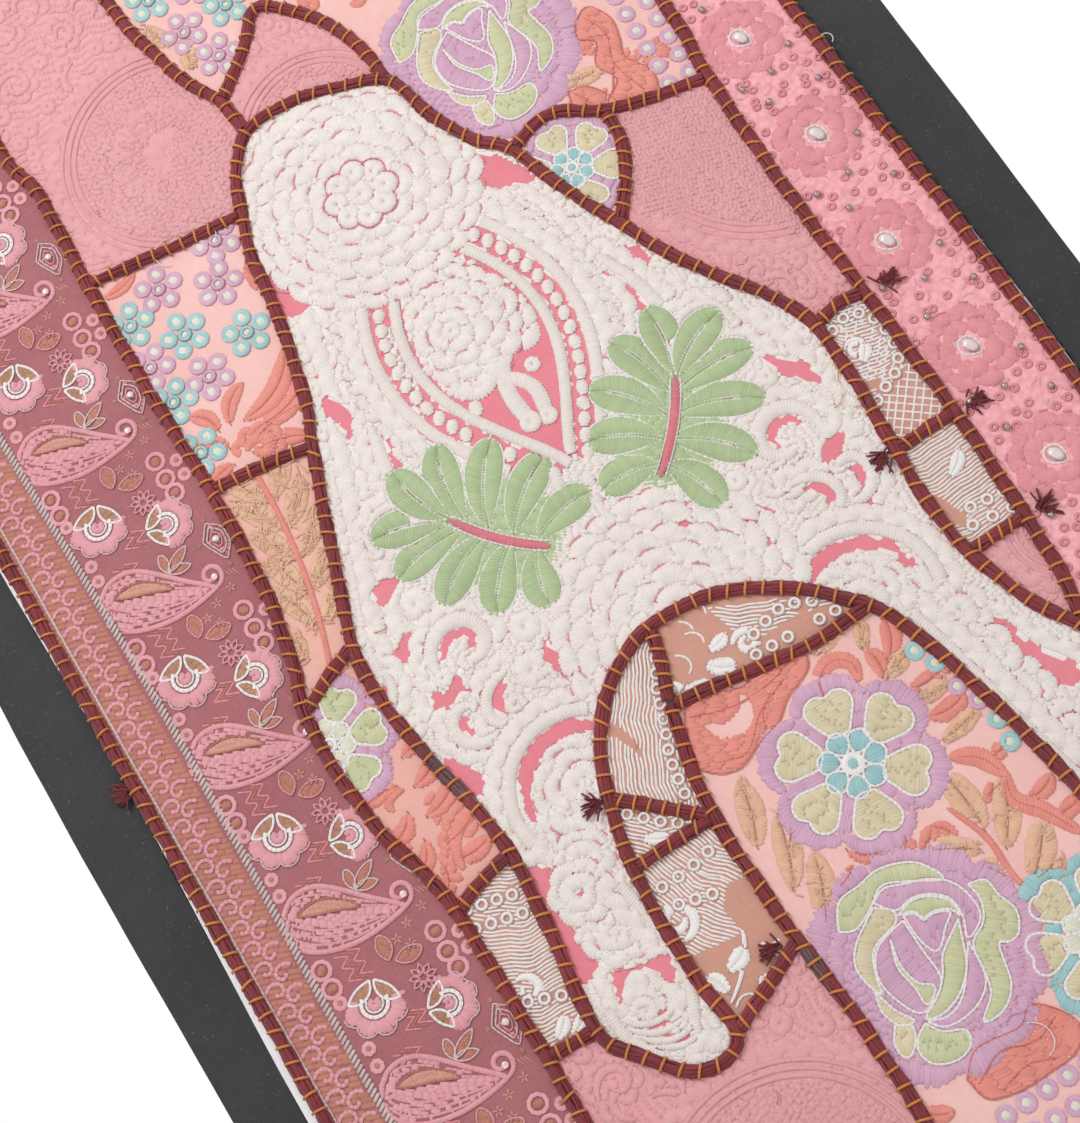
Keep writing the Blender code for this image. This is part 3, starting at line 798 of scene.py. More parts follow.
def layYarn(name):
    path = cordLine(name)
    reached = np.concatenate([[0.0], np.cumsum(np.hypot(*np.diff(path, axis=0).T))])
    ways = np.gradient(path, axis=0)
    ways /= np.hypot(*ways.T)[:, None]
    sides = np.stack([-ways[:, 1], ways[:, 0]], axis=1)
    places, stitchWays = couchPlaces(path)
    nearest = np.hypot(*(path[:, None] - places[None]).transpose(2, 0, 1)).min(axis=1)
    pinch = 1 - yarn["pinch"] * np.exp(-(nearest / yarn["pinchReach"]) ** 2)
    curve = bpy.data.curves.new("strands", "CURVE")
    curve.dimensions = "3D"
    curve.bevel_depth = mm
    curve.bevel_resolution = 0
    curve.use_fill_caps = True
    closed = name == "edge"
    for beside, above, radius in yarn["strands"]:
        phase = rng.random() * tau
        swing = yarn["wander"] * np.sin(reached * tau / yarn["wanderLength"] + phase)
        swing += 0.12 * rng.standard_normal(len(path))
        u = (beside + swing) * pinch
        v = above * (0.55 + 0.45 * pinch) + 0.1 * rng.standard_normal(len(path))
        spots = path + sides * u[:, None]
        points = placeOn(*spots.T, cloth["cordFoot"] + v)
        if closed:
            points = points[:-1]
        spline = curve.splines.new("POLY")
        spline.points.add(len(points) - 1)
        spline.points.foreach_set("co", np.column_stack([points, np.ones(len(points))]).ravel())
        spline.points.foreach_set("radius", np.full(len(points), radius))
        spline.use_cyclic_u = closed
        spline.use_smooth = True
    holder = bpy.data.objects.new("strands", curve)
    bpy.context.scene.collection.objects.link(holder)
    mesh = bpy.data.meshes.new_from_object(holder.evaluated_get(bpy.context.evaluated_depsgraph_get()))
    bpy.data.objects.remove(holder)
    bpy.data.curves.remove(curve)
    mesh.name = "cord_" + name + "_yarn"
    lean = np.arctan2(stitchWays[:, 1], stitchWays[:, 0]) + pi / 2
    lean += rng.normal(0.12, 0.16, len(lean))
    takeUp("cord_" + name)
    lay("gold", "arch", *places.T, lean, 2 * 3.1 + yarn["overlap"], yarn["threadWide"], 3.9)
    return mesh


def wearYarn(mesh):
    # faded stretches of the cord
    mesh.materials.append(threads["maroonWorn"])
    middles = np.zeros(len(mesh.polygons) * 3)
    mesh.polygons.foreach_get("center", middles)
    middles = middles.reshape(-1, 3)[:, (0, 2)] * (1, -1) / mm
    worn = np.zeros(len(middles), bool)
    for place, reach in yarn["worn"]:
        worn |= np.hypot(*(middles - place).T) < reach * vary(0.6, 1.1, len(middles))
    mesh.polygons.foreach_set("material_index", worn.astype(np.int32))


for name in cordRoutes:
    mesh = layYarn(name)
    mesh.materials.append(threads["maroon"])
    tint = mesh.attributes.new("tint", "FLOAT", "POINT")
    tint.data.foreach_set("value", rng.random(len(mesh.vertices)).astype(np.float32))
    # a crest of one everywhere: no painted shade at the foot of the yarn
    crest = mesh.attributes.new("crest", "FLOAT", "POINT")
    crest.data.foreach_set("value", np.ones(len(mesh.vertices), np.float32))
    wearYarn(mesh)
    addPiece("cord_" + name + "_yarn", mesh, "maroon_yarn", "cord_" + name)
    stitches = placeShapes("cord_" + name, base["cord"])
    addPiece("cord_" + name + "_couching", stitches, "maroon_yarn")
print("yarn couched over the seams")


# Paths

def waysOf(turn):
    return np.stack([np.cos(turn), np.sin(turn)], axis=1)


def arcPath(centre, radius, start, end, step=1.2):
    # degrees, from the right and on downwards
    count = max(5, int(abs(radians(end - start)) * radius / step))
    turn = np.radians(np.linspace(start, end, count))
    return np.array(centre) + radius * waysOf(turn)


def curlPath(start, heading, length, bend, tighten=1.0, step=1.2):
    # a line that bends by so many degrees a millimetre, and winds up tighter towards its end
    count = max(6, int(length / step))
    share = np.linspace(0, 1, count)
    turn = np.radians(heading + np.cumsum(bend * (1 + tighten * share ** 2)) * length / count)
    steps = waysOf(turn) * length / count
    return np.array(start) + np.cumsum(steps, axis=0)


def bowed(start, end, bow=0.0, step=1.5):
    # a line between two places that bows to one side by a share of its length
    start, end = np.array(start, float), np.array(end, float)
    share = np.linspace(0, 1, max(5, int(np.hypot(*(end - start)) / step)))[:, None]
    side = np.array([-(end - start)[1], (end - start)[0]])
    return start + (end - start) * share + side * bow * 4 * share * (1 - share)


def sidesOf(ways):
    return np.stack([-ways[:, 1], ways[:, 0]], axis=1)


def offsetPath(path, by):
    ways = np.gradient(path, axis=0)
    ways /= np.maximum(np.hypot(*ways.T), 1e-9)[:, None]
    return path + sidesOf(ways) * np.reshape(by, (-1, 1))


def headingOf(start, end):
    return degrees(atan2(end[1] - start[1], end[0] - start[0]))


def polar(centre, radius, angle):
    return np.array(centre) + radius * np.array([cos(radians(angle)), sin(radians(angle))])


def ringPath(centre, rim, start=0.0, end=360.0):
    turn = np.radians(np.linspace(start, end, 120))
    radius = rim(turn) if callable(rim) else rim
    return np.array(centre) + np.reshape(radius, (-1, 1)) * waysOf(turn)


def eggPath(base, tip, wide, fat=0.6, bow=0.0, blunt=0.55):
    # the closed outline of a petal or leaf: fat is where it is widest
    spine = bowed(base, tip, bow, 1.0)
    share = np.linspace(0, 1, len(spine))
    half = wide / 2 * np.sin(pi * share ** (log(0.5) / log(fat))) ** blunt
    return np.vstack([offsetPath(spine, half), offsetPath(spine, -half)[::-1]])


def lobed(radius, depth, count, turn=0.0):
    return lambda a: radius * (1 - depth + depth * np.abs(np.cos(count * (a - radians(turn)) / 2)) ** 0.6)


def tapered(most, least=0.3, power=0.6):
    return lambda share: most * (least + (1 - least) * np.sin(pi * share) ** power)


# Stencils: the squares of the map that a shape covers

def stencilOf(*paths):
    mask = np.zeros((mapRows, mapColumns), bool)
    for path in paths:
        flat = (np.asarray(path) - corner) / cell - 0.5
        low = np.clip(np.floor(flat.min(axis=0)).astype(int), 0, (mapColumns - 2, mapRows - 2))
        high = np.clip(np.ceil(flat.max(axis=0)).astype(int) + 1, low + 1, (mapColumns, mapRows))
        x, y = np.meshgrid(np.arange(low[0], high[0]), np.arange(low[1], high[1]))
        inside = np.zeros(x.shape, bool)
        for (ax, ay), (bx, by) in zip(flat, np.roll(flat, -1, axis=0)):
            if ay != by:
                inside ^= ((ay > y) != (by > y)) & (x < ax + (y - ay) / (by - ay) * (bx - ax))
        mask[low[1]:high[1], low[0]:high[0]] |= inside
    return mask


def claim(*paths):
    # nothing more is sewn inside these outlines
    taken[stencilOf(*paths)] = True


def ribbon(path, wide):
    # the outline of a band along a path
    share = np.linspace(0, 1, len(path))
    half = (wide(share) if callable(wide) else np.full(len(path), float(wide))) / 2
    return np.vstack([offsetPath(path, -half), offsetPath(path, half)[::-1]])


def wholePatch():
    return patchMap == patchNumber[hoop["patch"]]


# Stitches

def withGap(sewn):
    # a stitch that may say how wide a gap other threads leave round it from then on
    def sewAndSettle(*places, gap=None, **how):
        sewn(*places, **how)
        if gap is not None:
            settle(gap)
    return sewAndSettle


@withGap
def satin(colour, path, wide, pitch=1.35, thread=None, high=0.9, lean=0.12, **how):
    # threads side by side across a path
    places, ways, share = along(path, pitch)
    thread = thread or pitch * 1.35
    half = (wide(share) if callable(wide) else np.full(len(share), float(wide))) / 2
    half = half * vary(0.94, 1.05, len(half))
    reach = (sidesOf(ways) + ways * lean) * half[:, None]
    sew(colour, places - reach, places + reach, thread, high, **how)


@withGap
def stem(colour, path, wide=0.9, stitch=2.6, high=0.6, **how):
    # stitches end to end
    places, _, _ = along(path, stitch)
    how.setdefault("least", 0.5)
    sew(colour, places[:-1], places[1:], wide, high, **how)


@withGap
def outline(colour, path, wide=0.95, stitch=2.4, high=0.7, lift=0.35, **how):
    # a raised line of stitches on top of what is sewn
    how.setdefault("over", True)
    stem(colour, path, wide, stitch, high, lift=lift, **how)


@withGap
def fan(colour, centre, inner, outer, start=0.0, end=360.0, pitch=1.35, thread=None, high=0.8, **how):
    # threads outwards round a centre, between two radii that may change with the angle
    thread = thread or pitch * 1.45
    turn = np.radians(np.linspace(start, end, 90))
    rim = outer(turn) if callable(outer) else np.full(90, float(outer))
    count = max(4, int(abs(radians(end - start)) * np.mean(rim) * 0.85 / pitch))
    turn = np.radians(np.linspace(start, end, count, endpoint=abs(end - start) < 360))
    turn = turn + rng.normal(0, 0.12, count) * radians(abs(end - start)) / count
    near = inner(turn) if callable(inner) else inner
    far = outer(turn) if callable(outer) else outer
    way = waysOf(turn)
    near = np.broadcast_to(near, count)[:, None] * vary(0.97, 1.03, (count, 1))
    far = np.broadcast_to(far, count)[:, None] * vary(0.98, 1.03, (count, 1))
    sew(colour, np.array(centre) + way * near, np.array(centre) + way * far, thread, high, **how)


@withGap
def hatch(colour, within, angle=0.0, row=1.4, longest=6.0, thread=None, high=0.6, lift=0.0,
          over=False, bow=0.0, least=0.9, wobble=0.0, join=0.5):
    # rows of stitches side by side over a stencil; with a bow the rows curve
    thread = thread or row * 1.35
    within = within & wholePatch()
    i, j = np.nonzero(within)
    if len(i) < 4:
        return
    spots = np.stack([j, i], axis=1) * cell + corner
    turn = radians(angle)
    way = np.array([cos(turn), sin(turn)])
    side = np.array([-way[1], way[0]])
    u, v = spots @ way, spots @ side
    ticks = np.arange(u.min() - 1, u.max() + 1.5, 0.5)
    arch = bow * np.sin(pi * (ticks - ticks[0]) / (ticks[-1] - ticks[0]))
    arch = arch + wobble * np.sin(ticks / 4.1 + vary(0, 6)) + wobble * np.sin(ticks / 2.3)
    lines = np.arange(v.min() - max(bow, 0) - wobble, v.max() - min(bow, 0) + wobble, row) + row / 2
    lines = lines + vary(-0.1, 0.1, len(lines)) * row
    grid = (lines[:, None] + arch[None])[..., None] * side + ticks[None, :, None] * way
    free = isFree(grid[..., 0], grid[..., 1], over, within)
    free[:, 0] = free[:, -1] = False
    edges = np.diff(free.astype(np.int8), axis=1)
    row0, first = np.nonzero(edges == 1)
    _, last = np.nonzero(edges == -1)
    length = (last - first) * 0.5
    kept = length >= least
    row0, first, last, length = row0[kept], first[kept] + 1, last[kept], length[kept]
    if not len(first):
        return
    parts = np.maximum(1, np.round(length / longest + vary(-0.1, 0.45, len(length)))).astype(int)
    run = np.repeat(np.arange(len(parts)), parts)
    k = np.arange(len(run)) - np.repeat(np.cumsum(parts) - parts, parts)
    slip = vary(-0.35, 0.35, len(parts))[run]
    begin = np.where(k == 0, 0.0, (k + slip) / parts[run])
    finish = np.where(k + 1 == parts[run], 1.0, (k + 1 + slip) / parts[run])
    u0 = ticks[0] + 0.5 * (first[run] + (last - first)[run] * begin)
    u1 = ticks[0] + 0.5 * (first[run] + (last - first)[run] * finish)
    v0, v1 = (lines[row0][run] + np.interp(x, ticks, arch) for x in (u0, u1))
    start = u0[:, None] * way + v0[:, None] * side
    end = u1[:, None] * way + v1[:, None] * side
    middle, reach = (start + end) / 2, end - start
    lay(colour, "thread", *middle.T, np.arctan2(reach[:, 1], reach[:, 0]), np.hypot(*reach.T) + join,
        thread, high * vary(0.9, 1.1, len(middle)), lift)
    share = np.linspace(0, 1, 9)
    pending.append((start[:, None] + reach[:, None] * share[None, :, None]).reshape(-1, 2))


def spotsRound(places, size):
    # the places that round things cover, for the map
    rim = np.radians(np.arange(0, 360, 30))
    circle = waysOf(rim)
    for radius in (0, size / 4, size / 2):
        pending.append((places[:, None] + radius * circle[None]).reshape(-1, 2))


@withGap
def discs(colour, places, size=6.4, high=1.5, angle=0.0, over=False):
    # padded dots of short threads side by side
    places = np.atleast_2d(places)
    places = places[isFree(*places.T, over)]
    turn = radians(angle) + rng.normal(0, 0.25, len(places))
    for beside in (-0.4, -0.2, 0.0, 0.2, 0.4):
        chord = size * sqrt(1 - (1.9 * beside) ** 2) * vary(0.94, 1.06, len(places))
        lay(colour, "thread", places[:, 0] - np.sin(turn) * beside * size, places[:, 1] + np.cos(turn)
            * beside * size, turn, chord, size * 0.28, high * (1 - 1.6 * beside ** 2))
    spotsRound(places, size)


@withGap
def scallopRows(colour, centre, radii, size=11.0, start=0.0, end=360.0, slit=None, slits=0.75, deep=0.86,
                **how):
    # rows of shells round a centre, the inner row first, with slits of cloth at the edge of some
    for radius in radii:
        count = max(3, round(radians(end - start) * radius / size))
        first = vary(0, 1)
        for k in range(count):
            facing = start + (end - start) * (k + first) / count
            place = polar(centre, radius, facing)
            fan(colour, place, 0.6, size * deep * vary(0.94, 1.05), facing - 74, facing + 74, **how,
                gap=0.1)
            if slit and rng.random() < slits:
                middle = facing + vary(-30, 30)
                rim = ringPath(place, size * deep + 0.4, middle - vary(8, 24), middle
                    + vary(8, 24))
                outline(slit, rim, vary(0.6, 1.0), high=0.5)


@withGap
def rings(colour, places, size=6.4, high=1.1, core=None, coreSize=0.5, over=False, shape="ring"):
    # eyelets worked round with thread
    places = np.atleast_2d(places)
    places = places[isFree(*places.T, over)]
    if not len(places):
        return
    lay(colour, shape, *places.T, vary(0, 3, len(places)), size, size, high)
    if core:
        turn = rng.normal(1.2, 0.4, len(places))
        for beside in (-1, 0, 1):
            lay(core, "thread", places[:, 0] - np.sin(turn) * beside * size * 0.13, places[:, 1]
                + np.cos(turn) * beside * size * 0.13, turn, size * coreSize * (1.2 - 0.2 * abs(beside)),
                size * 0.2, high * 0.75)
    spotsRound(places, size)


@withGap
def scallops(colour, path, size, side=1, spread=95, deep=0.62, **how):
    # a row of shells along a path, their round edges to one side of it
    places, ways, _ = along(path, size * 0.92)
    for place, way in zip(places, ways):
        facing = degrees(atan2(way[1], way[0])) + 90 * side
        fan(colour, place, size * 0.08, size * deep, facing - spread, facing + spread, **how)


@withGap
def leaf(colour, base, tip, wide, bow=0.0, vein=None, edge=None, slant=0.7, high=0.65, fat=0.5,
         pitch=1.35, thread=None, blunt=0.6, **how):
    # two rows of slanted threads from a spine out to the edges
    thread = thread or pitch * 1.4
    spine = bowed(base, tip, bow)
    places, ways, share = along(spine, pitch)
    half = wide / 2 * np.sin(pi * np.clip(share, 0, 1) ** (log(0.5) / log(fat))) ** blunt
    rims = []
    for side in (-1, 1):
        reach = (sidesOf(ways) * side + ways * slant) * half[:, None]
        rims.append(places + reach)
        reach = reach * vary(0.94, 1.04, (len(reach), 1))
        sew(colour, places, places + reach, thread, high, **how)
        if edge:
            outline(edge, rims[-1], 0.9, lift=0.15, over=False)
    if vein:
        outline(vein, spine[: int(len(spine) * 0.85)], 0.8)
    claim(np.vstack([rims[0], rims[1][::-1]]))


@withGap
def filled(colour, path, angle, edge=None, row=1.35, longest=5.0, margin=0.5, line=0.95, **how):
    # a closed shape filled with rows of stitches, with a line round it
    hatch(colour, stencilOf(path), angle, row, longest, **how)
    if edge:
        outline(edge, np.vstack([path, path[:1]]), line)
    settle(margin)
    claim(path)


def freely(points, step=1.0):
    # a smooth closed outline through the given places
    return smoothPath(list(points) + [points[0]], step)


def freePlaces(spacing, clear, tries=1, within=None):
    # places in a patch, unevenly spaced, with nothing sewn within reach; checked again as each is used
    i, j = np.nonzero(wholePatch() if within is None else within & wholePatch())
    low = np.array([j.min(), i.min()]) * cell + corner
    high = np.array([j.max(), i.max()]) * cell + corner
    rim = np.radians(np.arange(0, 360, 45))
    circle = waysOf(rim) * clear
    for _ in range(tries):
        grid = np.stack(np.meshgrid(*[np.arange(a, b, spacing) for a, b in zip(low, high)]), axis=-1)
        grid = grid.reshape(-1, 2) + vary(-0.5, 0.5, (grid.shape[0] * grid.shape[1], 2)) * spacing
        for place in grid:
            spots = np.vstack([place[None], place + circle])
            if isFree(*spots.T, False, within).all():
                yield place


def freePlacesOnce(spacing, clear, tries=1, within=None):
    for place in freePlaces(spacing, clear, tries, within):
        rim = polar(place, 0, 0)[None] + clear * np.array([(0, 0), (1, 0), (-1, 0), (0, 1), (0, -1)])
        pending.append(rim)
        settle(0.8)
        taken[cellsOf(place[0:1], place[1:2])] = False
        yield place


def fillCurls(colour, spacing=9.0, clear=2.4, length=(16, 30), wide=3.6, tries=2, margin=0.7,
              rim=0.0, within=None, **how):
    for place in freePlaces(spacing, clear, tries, within):
        side = rng.choice([-1, 1])
        path = curlPath(place, vary(0, 360), vary(*length), side * vary(4, 8), 1.6)
        satin(colour, path, tapered(wide), **how)
        settle(margin)
        if rim:
            scallops(colour, offsetPath(path[2:-3], -side * wide * 0.55), rim, -side, **how)
            settle(margin)


def fillShells(colour, size=6.0, spacing=6.0, clear=1.8, tries=2, margin=0.4, within=None, **how):
    for place in freePlaces(spacing, clear, tries, within):
        half = size * vary(0.42, 0.55)
        rim = lobed(half, 0.14, int(rng.integers(5, 9)), vary(0, 90))
        fan(colour, place, 0.3, rim if size > 5 else half, **how)
        settle(margin)


def bunch(ringColour, centre, size=7.6, turn=0.0, core="cream"):
    # five rings round a small one
    spots = [polar(centre, size * 0.94, turn + 72 * k) for k in range(5)]
    rings(ringColour, spots, size, 1.3, core, 0.66)
    rings(ringColour, centre, size * 0.82, 1.2, core, 0.4, gap=0.3)


# The white figure: most of it is drawn on one side, and sewn on both sides of its middle line

figureLook = {
    "middle": 20.0,
    "head": (8, 303), "headRows": [16, 24.5, 33, 41.5, 49],
    "almondTop": (13, 338), "almondTip": (20, 471), "almondWide": 30.0, "bar": 5.4,
    "flower": (8, 387), "flowerRows": [3, 10.5, 18, 25],
    "scrolls": [([(16, 411), (11, 418), (4, 420), (-2, 416)], 6.5),
        ([(19, 411), (14, 428), (15, 445)], 8.0), ([(16, 421), (22, 426), (25, 434), (23, 447)], 7.0)],
    "dome": (24, 556), "domeRows": [4, 13, 22, 31, 40, 48],
}
figureGaps = [  # where the pink cloth shows
    [(-86, 472), (-77, 469), (-70, 473), (-75, 476), (-83, 480)],
    [(-81, 495), (-74, 500), (-80, 508), (-95, 506), (-88, 500)],
    [(-84, 518), (-80, 528), (-70, 523), (-71, 531), (-62, 536), (-54, 535), (-67, 546), (-69, 537),
        (-75, 532), (-87, 536)],
    [(-96, 551), (-88, 557), (-85, 568), (-88, 578), (-97, 567)],
    [(-32, 531), (-28, 545), (-23, 551), (-33, 551), (-36, 540)],
    [(-47, 303), (-44, 314), (-40, 331), (-41, 338), (-53, 334), (-55, 315)],
    [(58, 313), (66, 320), (73, 332), (78, 346), (60, 339), (56, 327)],
    [(98, 536), (108, 540), (123, 557), (118, 564), (108, 550)],
    [(117, 526), (124, 528), (117, 537), (110, 541), (111, 531)],
    [(71, 531), (79, 544), (72, 554), (67, 541)],
    [(113, 476), (128, 490), (130, 505), (116, 489)],
    [(-60, 384), (-54, 380), (-50, 396), (-56, 404)], [(92, 398), (99, 403), (97, 412), (90, 409)],
    [(40, 520), (46, 516), (56, 524), (50, 527)], [(135, 575), (140, 573), (146, 588), (140, 589)],
]


def onBothSides(x, drop, side):
    return (figureLook["middle"] + side * x, drop)


def figureHead():
    centre = figureLook["head"]
    fan("white", centre, 0.5, 5.8, high=1.3, gap=0.1)
    for k in range(8):
        middle = polar(centre, 12.0, 45 * k + 10)
        fan("white", middle, 0.5, 5.8, high=1.2, gap=0.1)
        outline("deepPink", ringPath(middle, 6.5, 45 * k - 75, 45 * k + 95), 0.8, lift=0.3, high=0.5)
    settle(0.2)
    scallopRows("white", centre, figureLook["headRows"], slit="slitPink", high=1.2)


def almondSide(side, out):
    # one side of the almond, set outwards by some millimetres
    top, tip = np.array(figureLook["almondTop"], float), np.array(figureLook["almondTip"], float)
    share = np.linspace(0.0, 1.0, 60)
    middle = top + (tip - top) * share[:, None]
    half = figureLook["almondWide"] * np.sin(pi * share ** 0.84) ** (0.8 + 0.4 * share) + 1.0
    path = middle + np.stack([side * half, np.zeros(60)], axis=1)
    return offsetPath(path, -side * out)


def figureAlmond():
    bar = figureLook["bar"]
    for side in (-1, 1):
        satin("white", almondSide(side, 0.0)[4:], bar, high=1.6, gap=0.7)
    palmLeaves()
    for side in (-1, 1):
        row, _, _ = along(almondSide(side, 7.6)[6:-1], 7.2)
        discs("white", row, 6.4, angle=20, gap=0.6)
        satin("white", almondSide(side, 15.0)[9:-6], bar + 0.6, high=1.4, gap=0.3)
        scallops("white", almondSide(side, 18.4)[9:-6], 10.5, -side, spread=80, deep=0.8, high=1.2, gap=0.3)
        row, _, _ = along(almondSide(side, 27.5)[12:-14], 7.6)
        discs("white", row, 6.0, angle=-30, gap=0.4)
    discs("white", [(22, 482), (20, 492), (32, 475), (10, 476)], 6.6, angle=10, gap=0.5)


def figureFlower():
    # the flower and scrolls inside the almond
    centre = figureLook["flower"]
    hatch("white", stencilOf(ringPath(centre, 31.0)), 20, 3.2, 9.0, 4.2, 0.4)
    pending.clear()
    fan("white", centre, 0.3, 4.5, high=1.3, gap=0.1)
    scallopRows("white", centre, figureLook["flowerRows"], 9.5, slit="slitPink", high=1.2)
    scallopRows("white", centre, [32.5], 9.5, -70, 50, slit="slitPink", high=1.2)
    for points, wide in figureLook["scrolls"]:
        path = smoothPath(points, 1.2)
        satin("white", path, wide, high=1.3, over=True)
        fan("white", path[-1], 0.3, wide * 0.62, high=1.3, gap=0.5)
    discs("white", [(-3, 406), (19, 450), (-2, 425), (12, 439), (35, 400), (37, 368)], 7.0, gap=0.6)
    within = stencilOf(almondInside())
    fillShells("white", 9.0, 8.0, 4.6, tries=5, margin=0.8, within=within, high=1.2)
    claim(almondInside())


def almondInside():
    return np.vstack([almondSide(-1, 0.0)[4:], almondSide(1, 0.0)[4:][::-1]])


palms = {  # root, top of the stem, and the leaflets: share of the stem, turn from it, length
    "places": [((-8, 498), (-38, 463)), ((49, 499), (78, 465))],
    "leaflets": [
        (1.0, 24, 34), (1.0, -30, 34), (0.84, 52, 38), (0.84, -56, 36), (0.62, 74, 40), (0.62, -78, 36),
        (0.38, 95, 38), (0.38, -98, 33), (0.14, 120, 31), (0.14, -121, 27),
    ],
    "wide": 17.5,
}


def palmLeaves():
    for root, top in palms["places"]:
        root, top = np.array(root, float), np.array(top, float)
        way = top - root
        heading = headingOf(root, top)
        stalk = bowed(root, top, 0.05 if way[0] > 0 else -0.05)
        under = stencilOf(ribbon(bowed(root - way * 0.12, top + way * 0.18), tapered(50.0, 0.5)))
        hatch("leafGreen", under, heading + 70, 2.2, 6.0, 3.4, 0.8)
        pending.clear()
        satin("deepPink", stalk, tapered(5.2, 0.25), high=1.5)
        for beside in (-2.3, 2.3):
            outline("clear", offsetPath(stalk, beside), 0.8, high=1.3)
        settle(0.2)
        for share, turn, length in palms["leaflets"]:
            base = polar(root + way * share, 1.8, heading + turn)
            tip = polar(base, length, heading + turn)
            bow = -0.07 * copysign(1, turn)
            leaf("leafGreen", base, tip, palms["wide"], bow, edge="clear", slant=0.3, high=1.2, fat=0.56,
                blunt=0.52)
            rib = bowed(base, tip, bow)
            for beside in (-0.8, 0.8):
                outline("clear", offsetPath(rib, beside)[: int(len(rib) * 0.8)], 0.7)
            settle(0.1)
        claim(ribbon(bowed(root - way * 0.05, top + way * 0.05), tapered(44.0, 0.6)))


def figureDome():
    # the half flower over the arch
    centre = figureLook["dome"]
    scallopRows("white", centre, figureLook["domeRows"], 11.5, 150, 390, slit="slitPink", high=1.2)


figureCurls = [  # beside the middle line, drop, heading, length, bend, tightening, width; mirrored
    (98, 520, -78, 62, -3.6, 1.1, 7.5), (88, 556, 25, 40, -4.2, 1.2, 6.0),
    (62, 452, -60, 44, 2.6, 1.2, 6.0), (50, 405, 50, 34, 2.6, 1.4, 6.0), (60, 395, 62, 60, 0.6, 0.2, 6.5),
    (46, 352, 66, 44, 0.8, 0.6, 6.0), (118, 505, 110, 30, -4.0, 1.2, 5.0), (72, 535, -10, 36, 3.4, 1.5,
        5.4),
]
archBands = {"beside": 70.0, "drop": 596.0, "outer": 33.0, "gap": 26.0, "inner": 22.0}


def curlLines():
    # each scroll's middle line, its outer side and its width
    for x, drop, heading, length, bend, tighten, wide in figureCurls:
        for side in (-1, 1):
            turn = heading if side > 0 else 180 - heading
            path = curlPath(onBothSides(x, drop, side), turn, length, side * bend, tighten)
            yield path, -side * copysign(1, bend), wide


def figureGround():
    # flat white stitches under the raised ones, except where the cloth is to show
    bare = [ribbon(almondSide(side, 7.4)[5:], 9.5) for side in (-1, 1)] + [almondInside()]
    bare += [freely(places) for places in figureGaps + limbs["gaps"]]
    bare += [ribbon(bowed(start, end, 0.16), tapered(1.7, 0.4)) for start, end in limbs["slits"]]
    for path, outer, wide in curlLines():
        bare.append(ribbon(offsetPath(path[3:], -outer * (wide * 0.5 + 2.2)), tapered(4.4, 0.2)))
    for side in (-1, 1):
        centre = onBothSides(archBands["beside"], archBands["drop"], side)
        bare.append(ribbon(arcPath(centre, archBands["gap"], 175, 365), tapered(6.5, 0.2)))
    gaps = np.logical_or.reduce([stencilOf(path) for path in bare])
    hatch("white", wholePatch() & ~gaps, 62, 3.2, 11.0, 4.2, 0.4, wobble=1.2)
    pending.clear()
    return gaps


def figureScrolls():
    for side in (-1, 1):
        centre = onBothSides(archBands["beside"], archBands["drop"], side)
        satin("white", arcPath(centre, archBands["outer"], 165, 375), 6.4, high=1.5, gap=0.3)
        scallops("white", arcPath(centre, archBands["outer"] + 3.2, 165, 375, 1.5), 10.0, -1, spread=80,
            deep=0.8, high=1.2, gap=0.3)
        scallopRows("white", centre, [3, 10, archBands["inner"] - 7], 9.5, 150, 390, slit="slitPink",
            high=1.2)
    for path, outer, wide in curlLines():
        satin("white", path, tapered(wide, 0.5), high=1.4, gap=0.2)
        fan("white", path[-1], 0.3, wide * 0.6, high=1.4, gap=0.4)
        scallops("white", offsetPath(path[: int(len(path) * 0.75)], outer * wide * 0.5), 8.5, outer,
            spread=80, deep=0.8, high=1.1, gap=0.3)


limbs = {
    "bars": [  # middle of a satin bar, and the side of its scallops
        ([(-60, 640), (-56, 664), (-57, 688), (-66, 708)], 1), ([(-92, 682), (-91, 696), (-82, 708)], 0),
        ([(104, 612), (110, 640), (114, 670), (122, 712)], -1), ([(150, 690), (152, 712), (156, 738)], 1),
    ],
    "flowers": [  # centre and the radii of its rows
        ((-76, 633), (1.5, 7.5)), ((-72, 655), (2, 8.5)), ((-67, 622), (1.5, 6.5)),
        ((118, 643), (2, 8.5)), ((122, 663), (1.5, 8)), ((129, 690), (2, 9)), ((141, 708), (2, 9)),
        ((120, 622), (1.5, 7)),
    ],
    "slits": [((-87, 686), (-70, 693)), ((-86, 691), (-68, 698)), ((-84, 696), (-67, 703)),
        ((-81, 701), (-67, 707))],
    "gaps": [
        [(-88, 605), (-84, 613), (-80, 620), (-84, 624), (-87, 634), (-85, 643), (-88, 650), (-83, 660),
            (-88, 665), (-97, 664), (-97, 640), (-93, 616)],
        [(-84, 668), (-71, 672), (-60, 674), (-59, 682), (-64, 686), (-67, 679), (-74, 673), (-81, 676),
            (-86, 682)],
        [(127, 622), (134, 634), (138, 650), (148, 667), (144, 673), (134, 669), (131, 658), (130, 648),
            (128, 634)],
        [(132, 676), (140, 683), (137, 687), (128, 684), (125, 678)],
        [(132, 716), (142, 722), (146, 730), (136, 726)],
        [(-76, 630), (-71, 634), (-76, 637)],
    ],
}


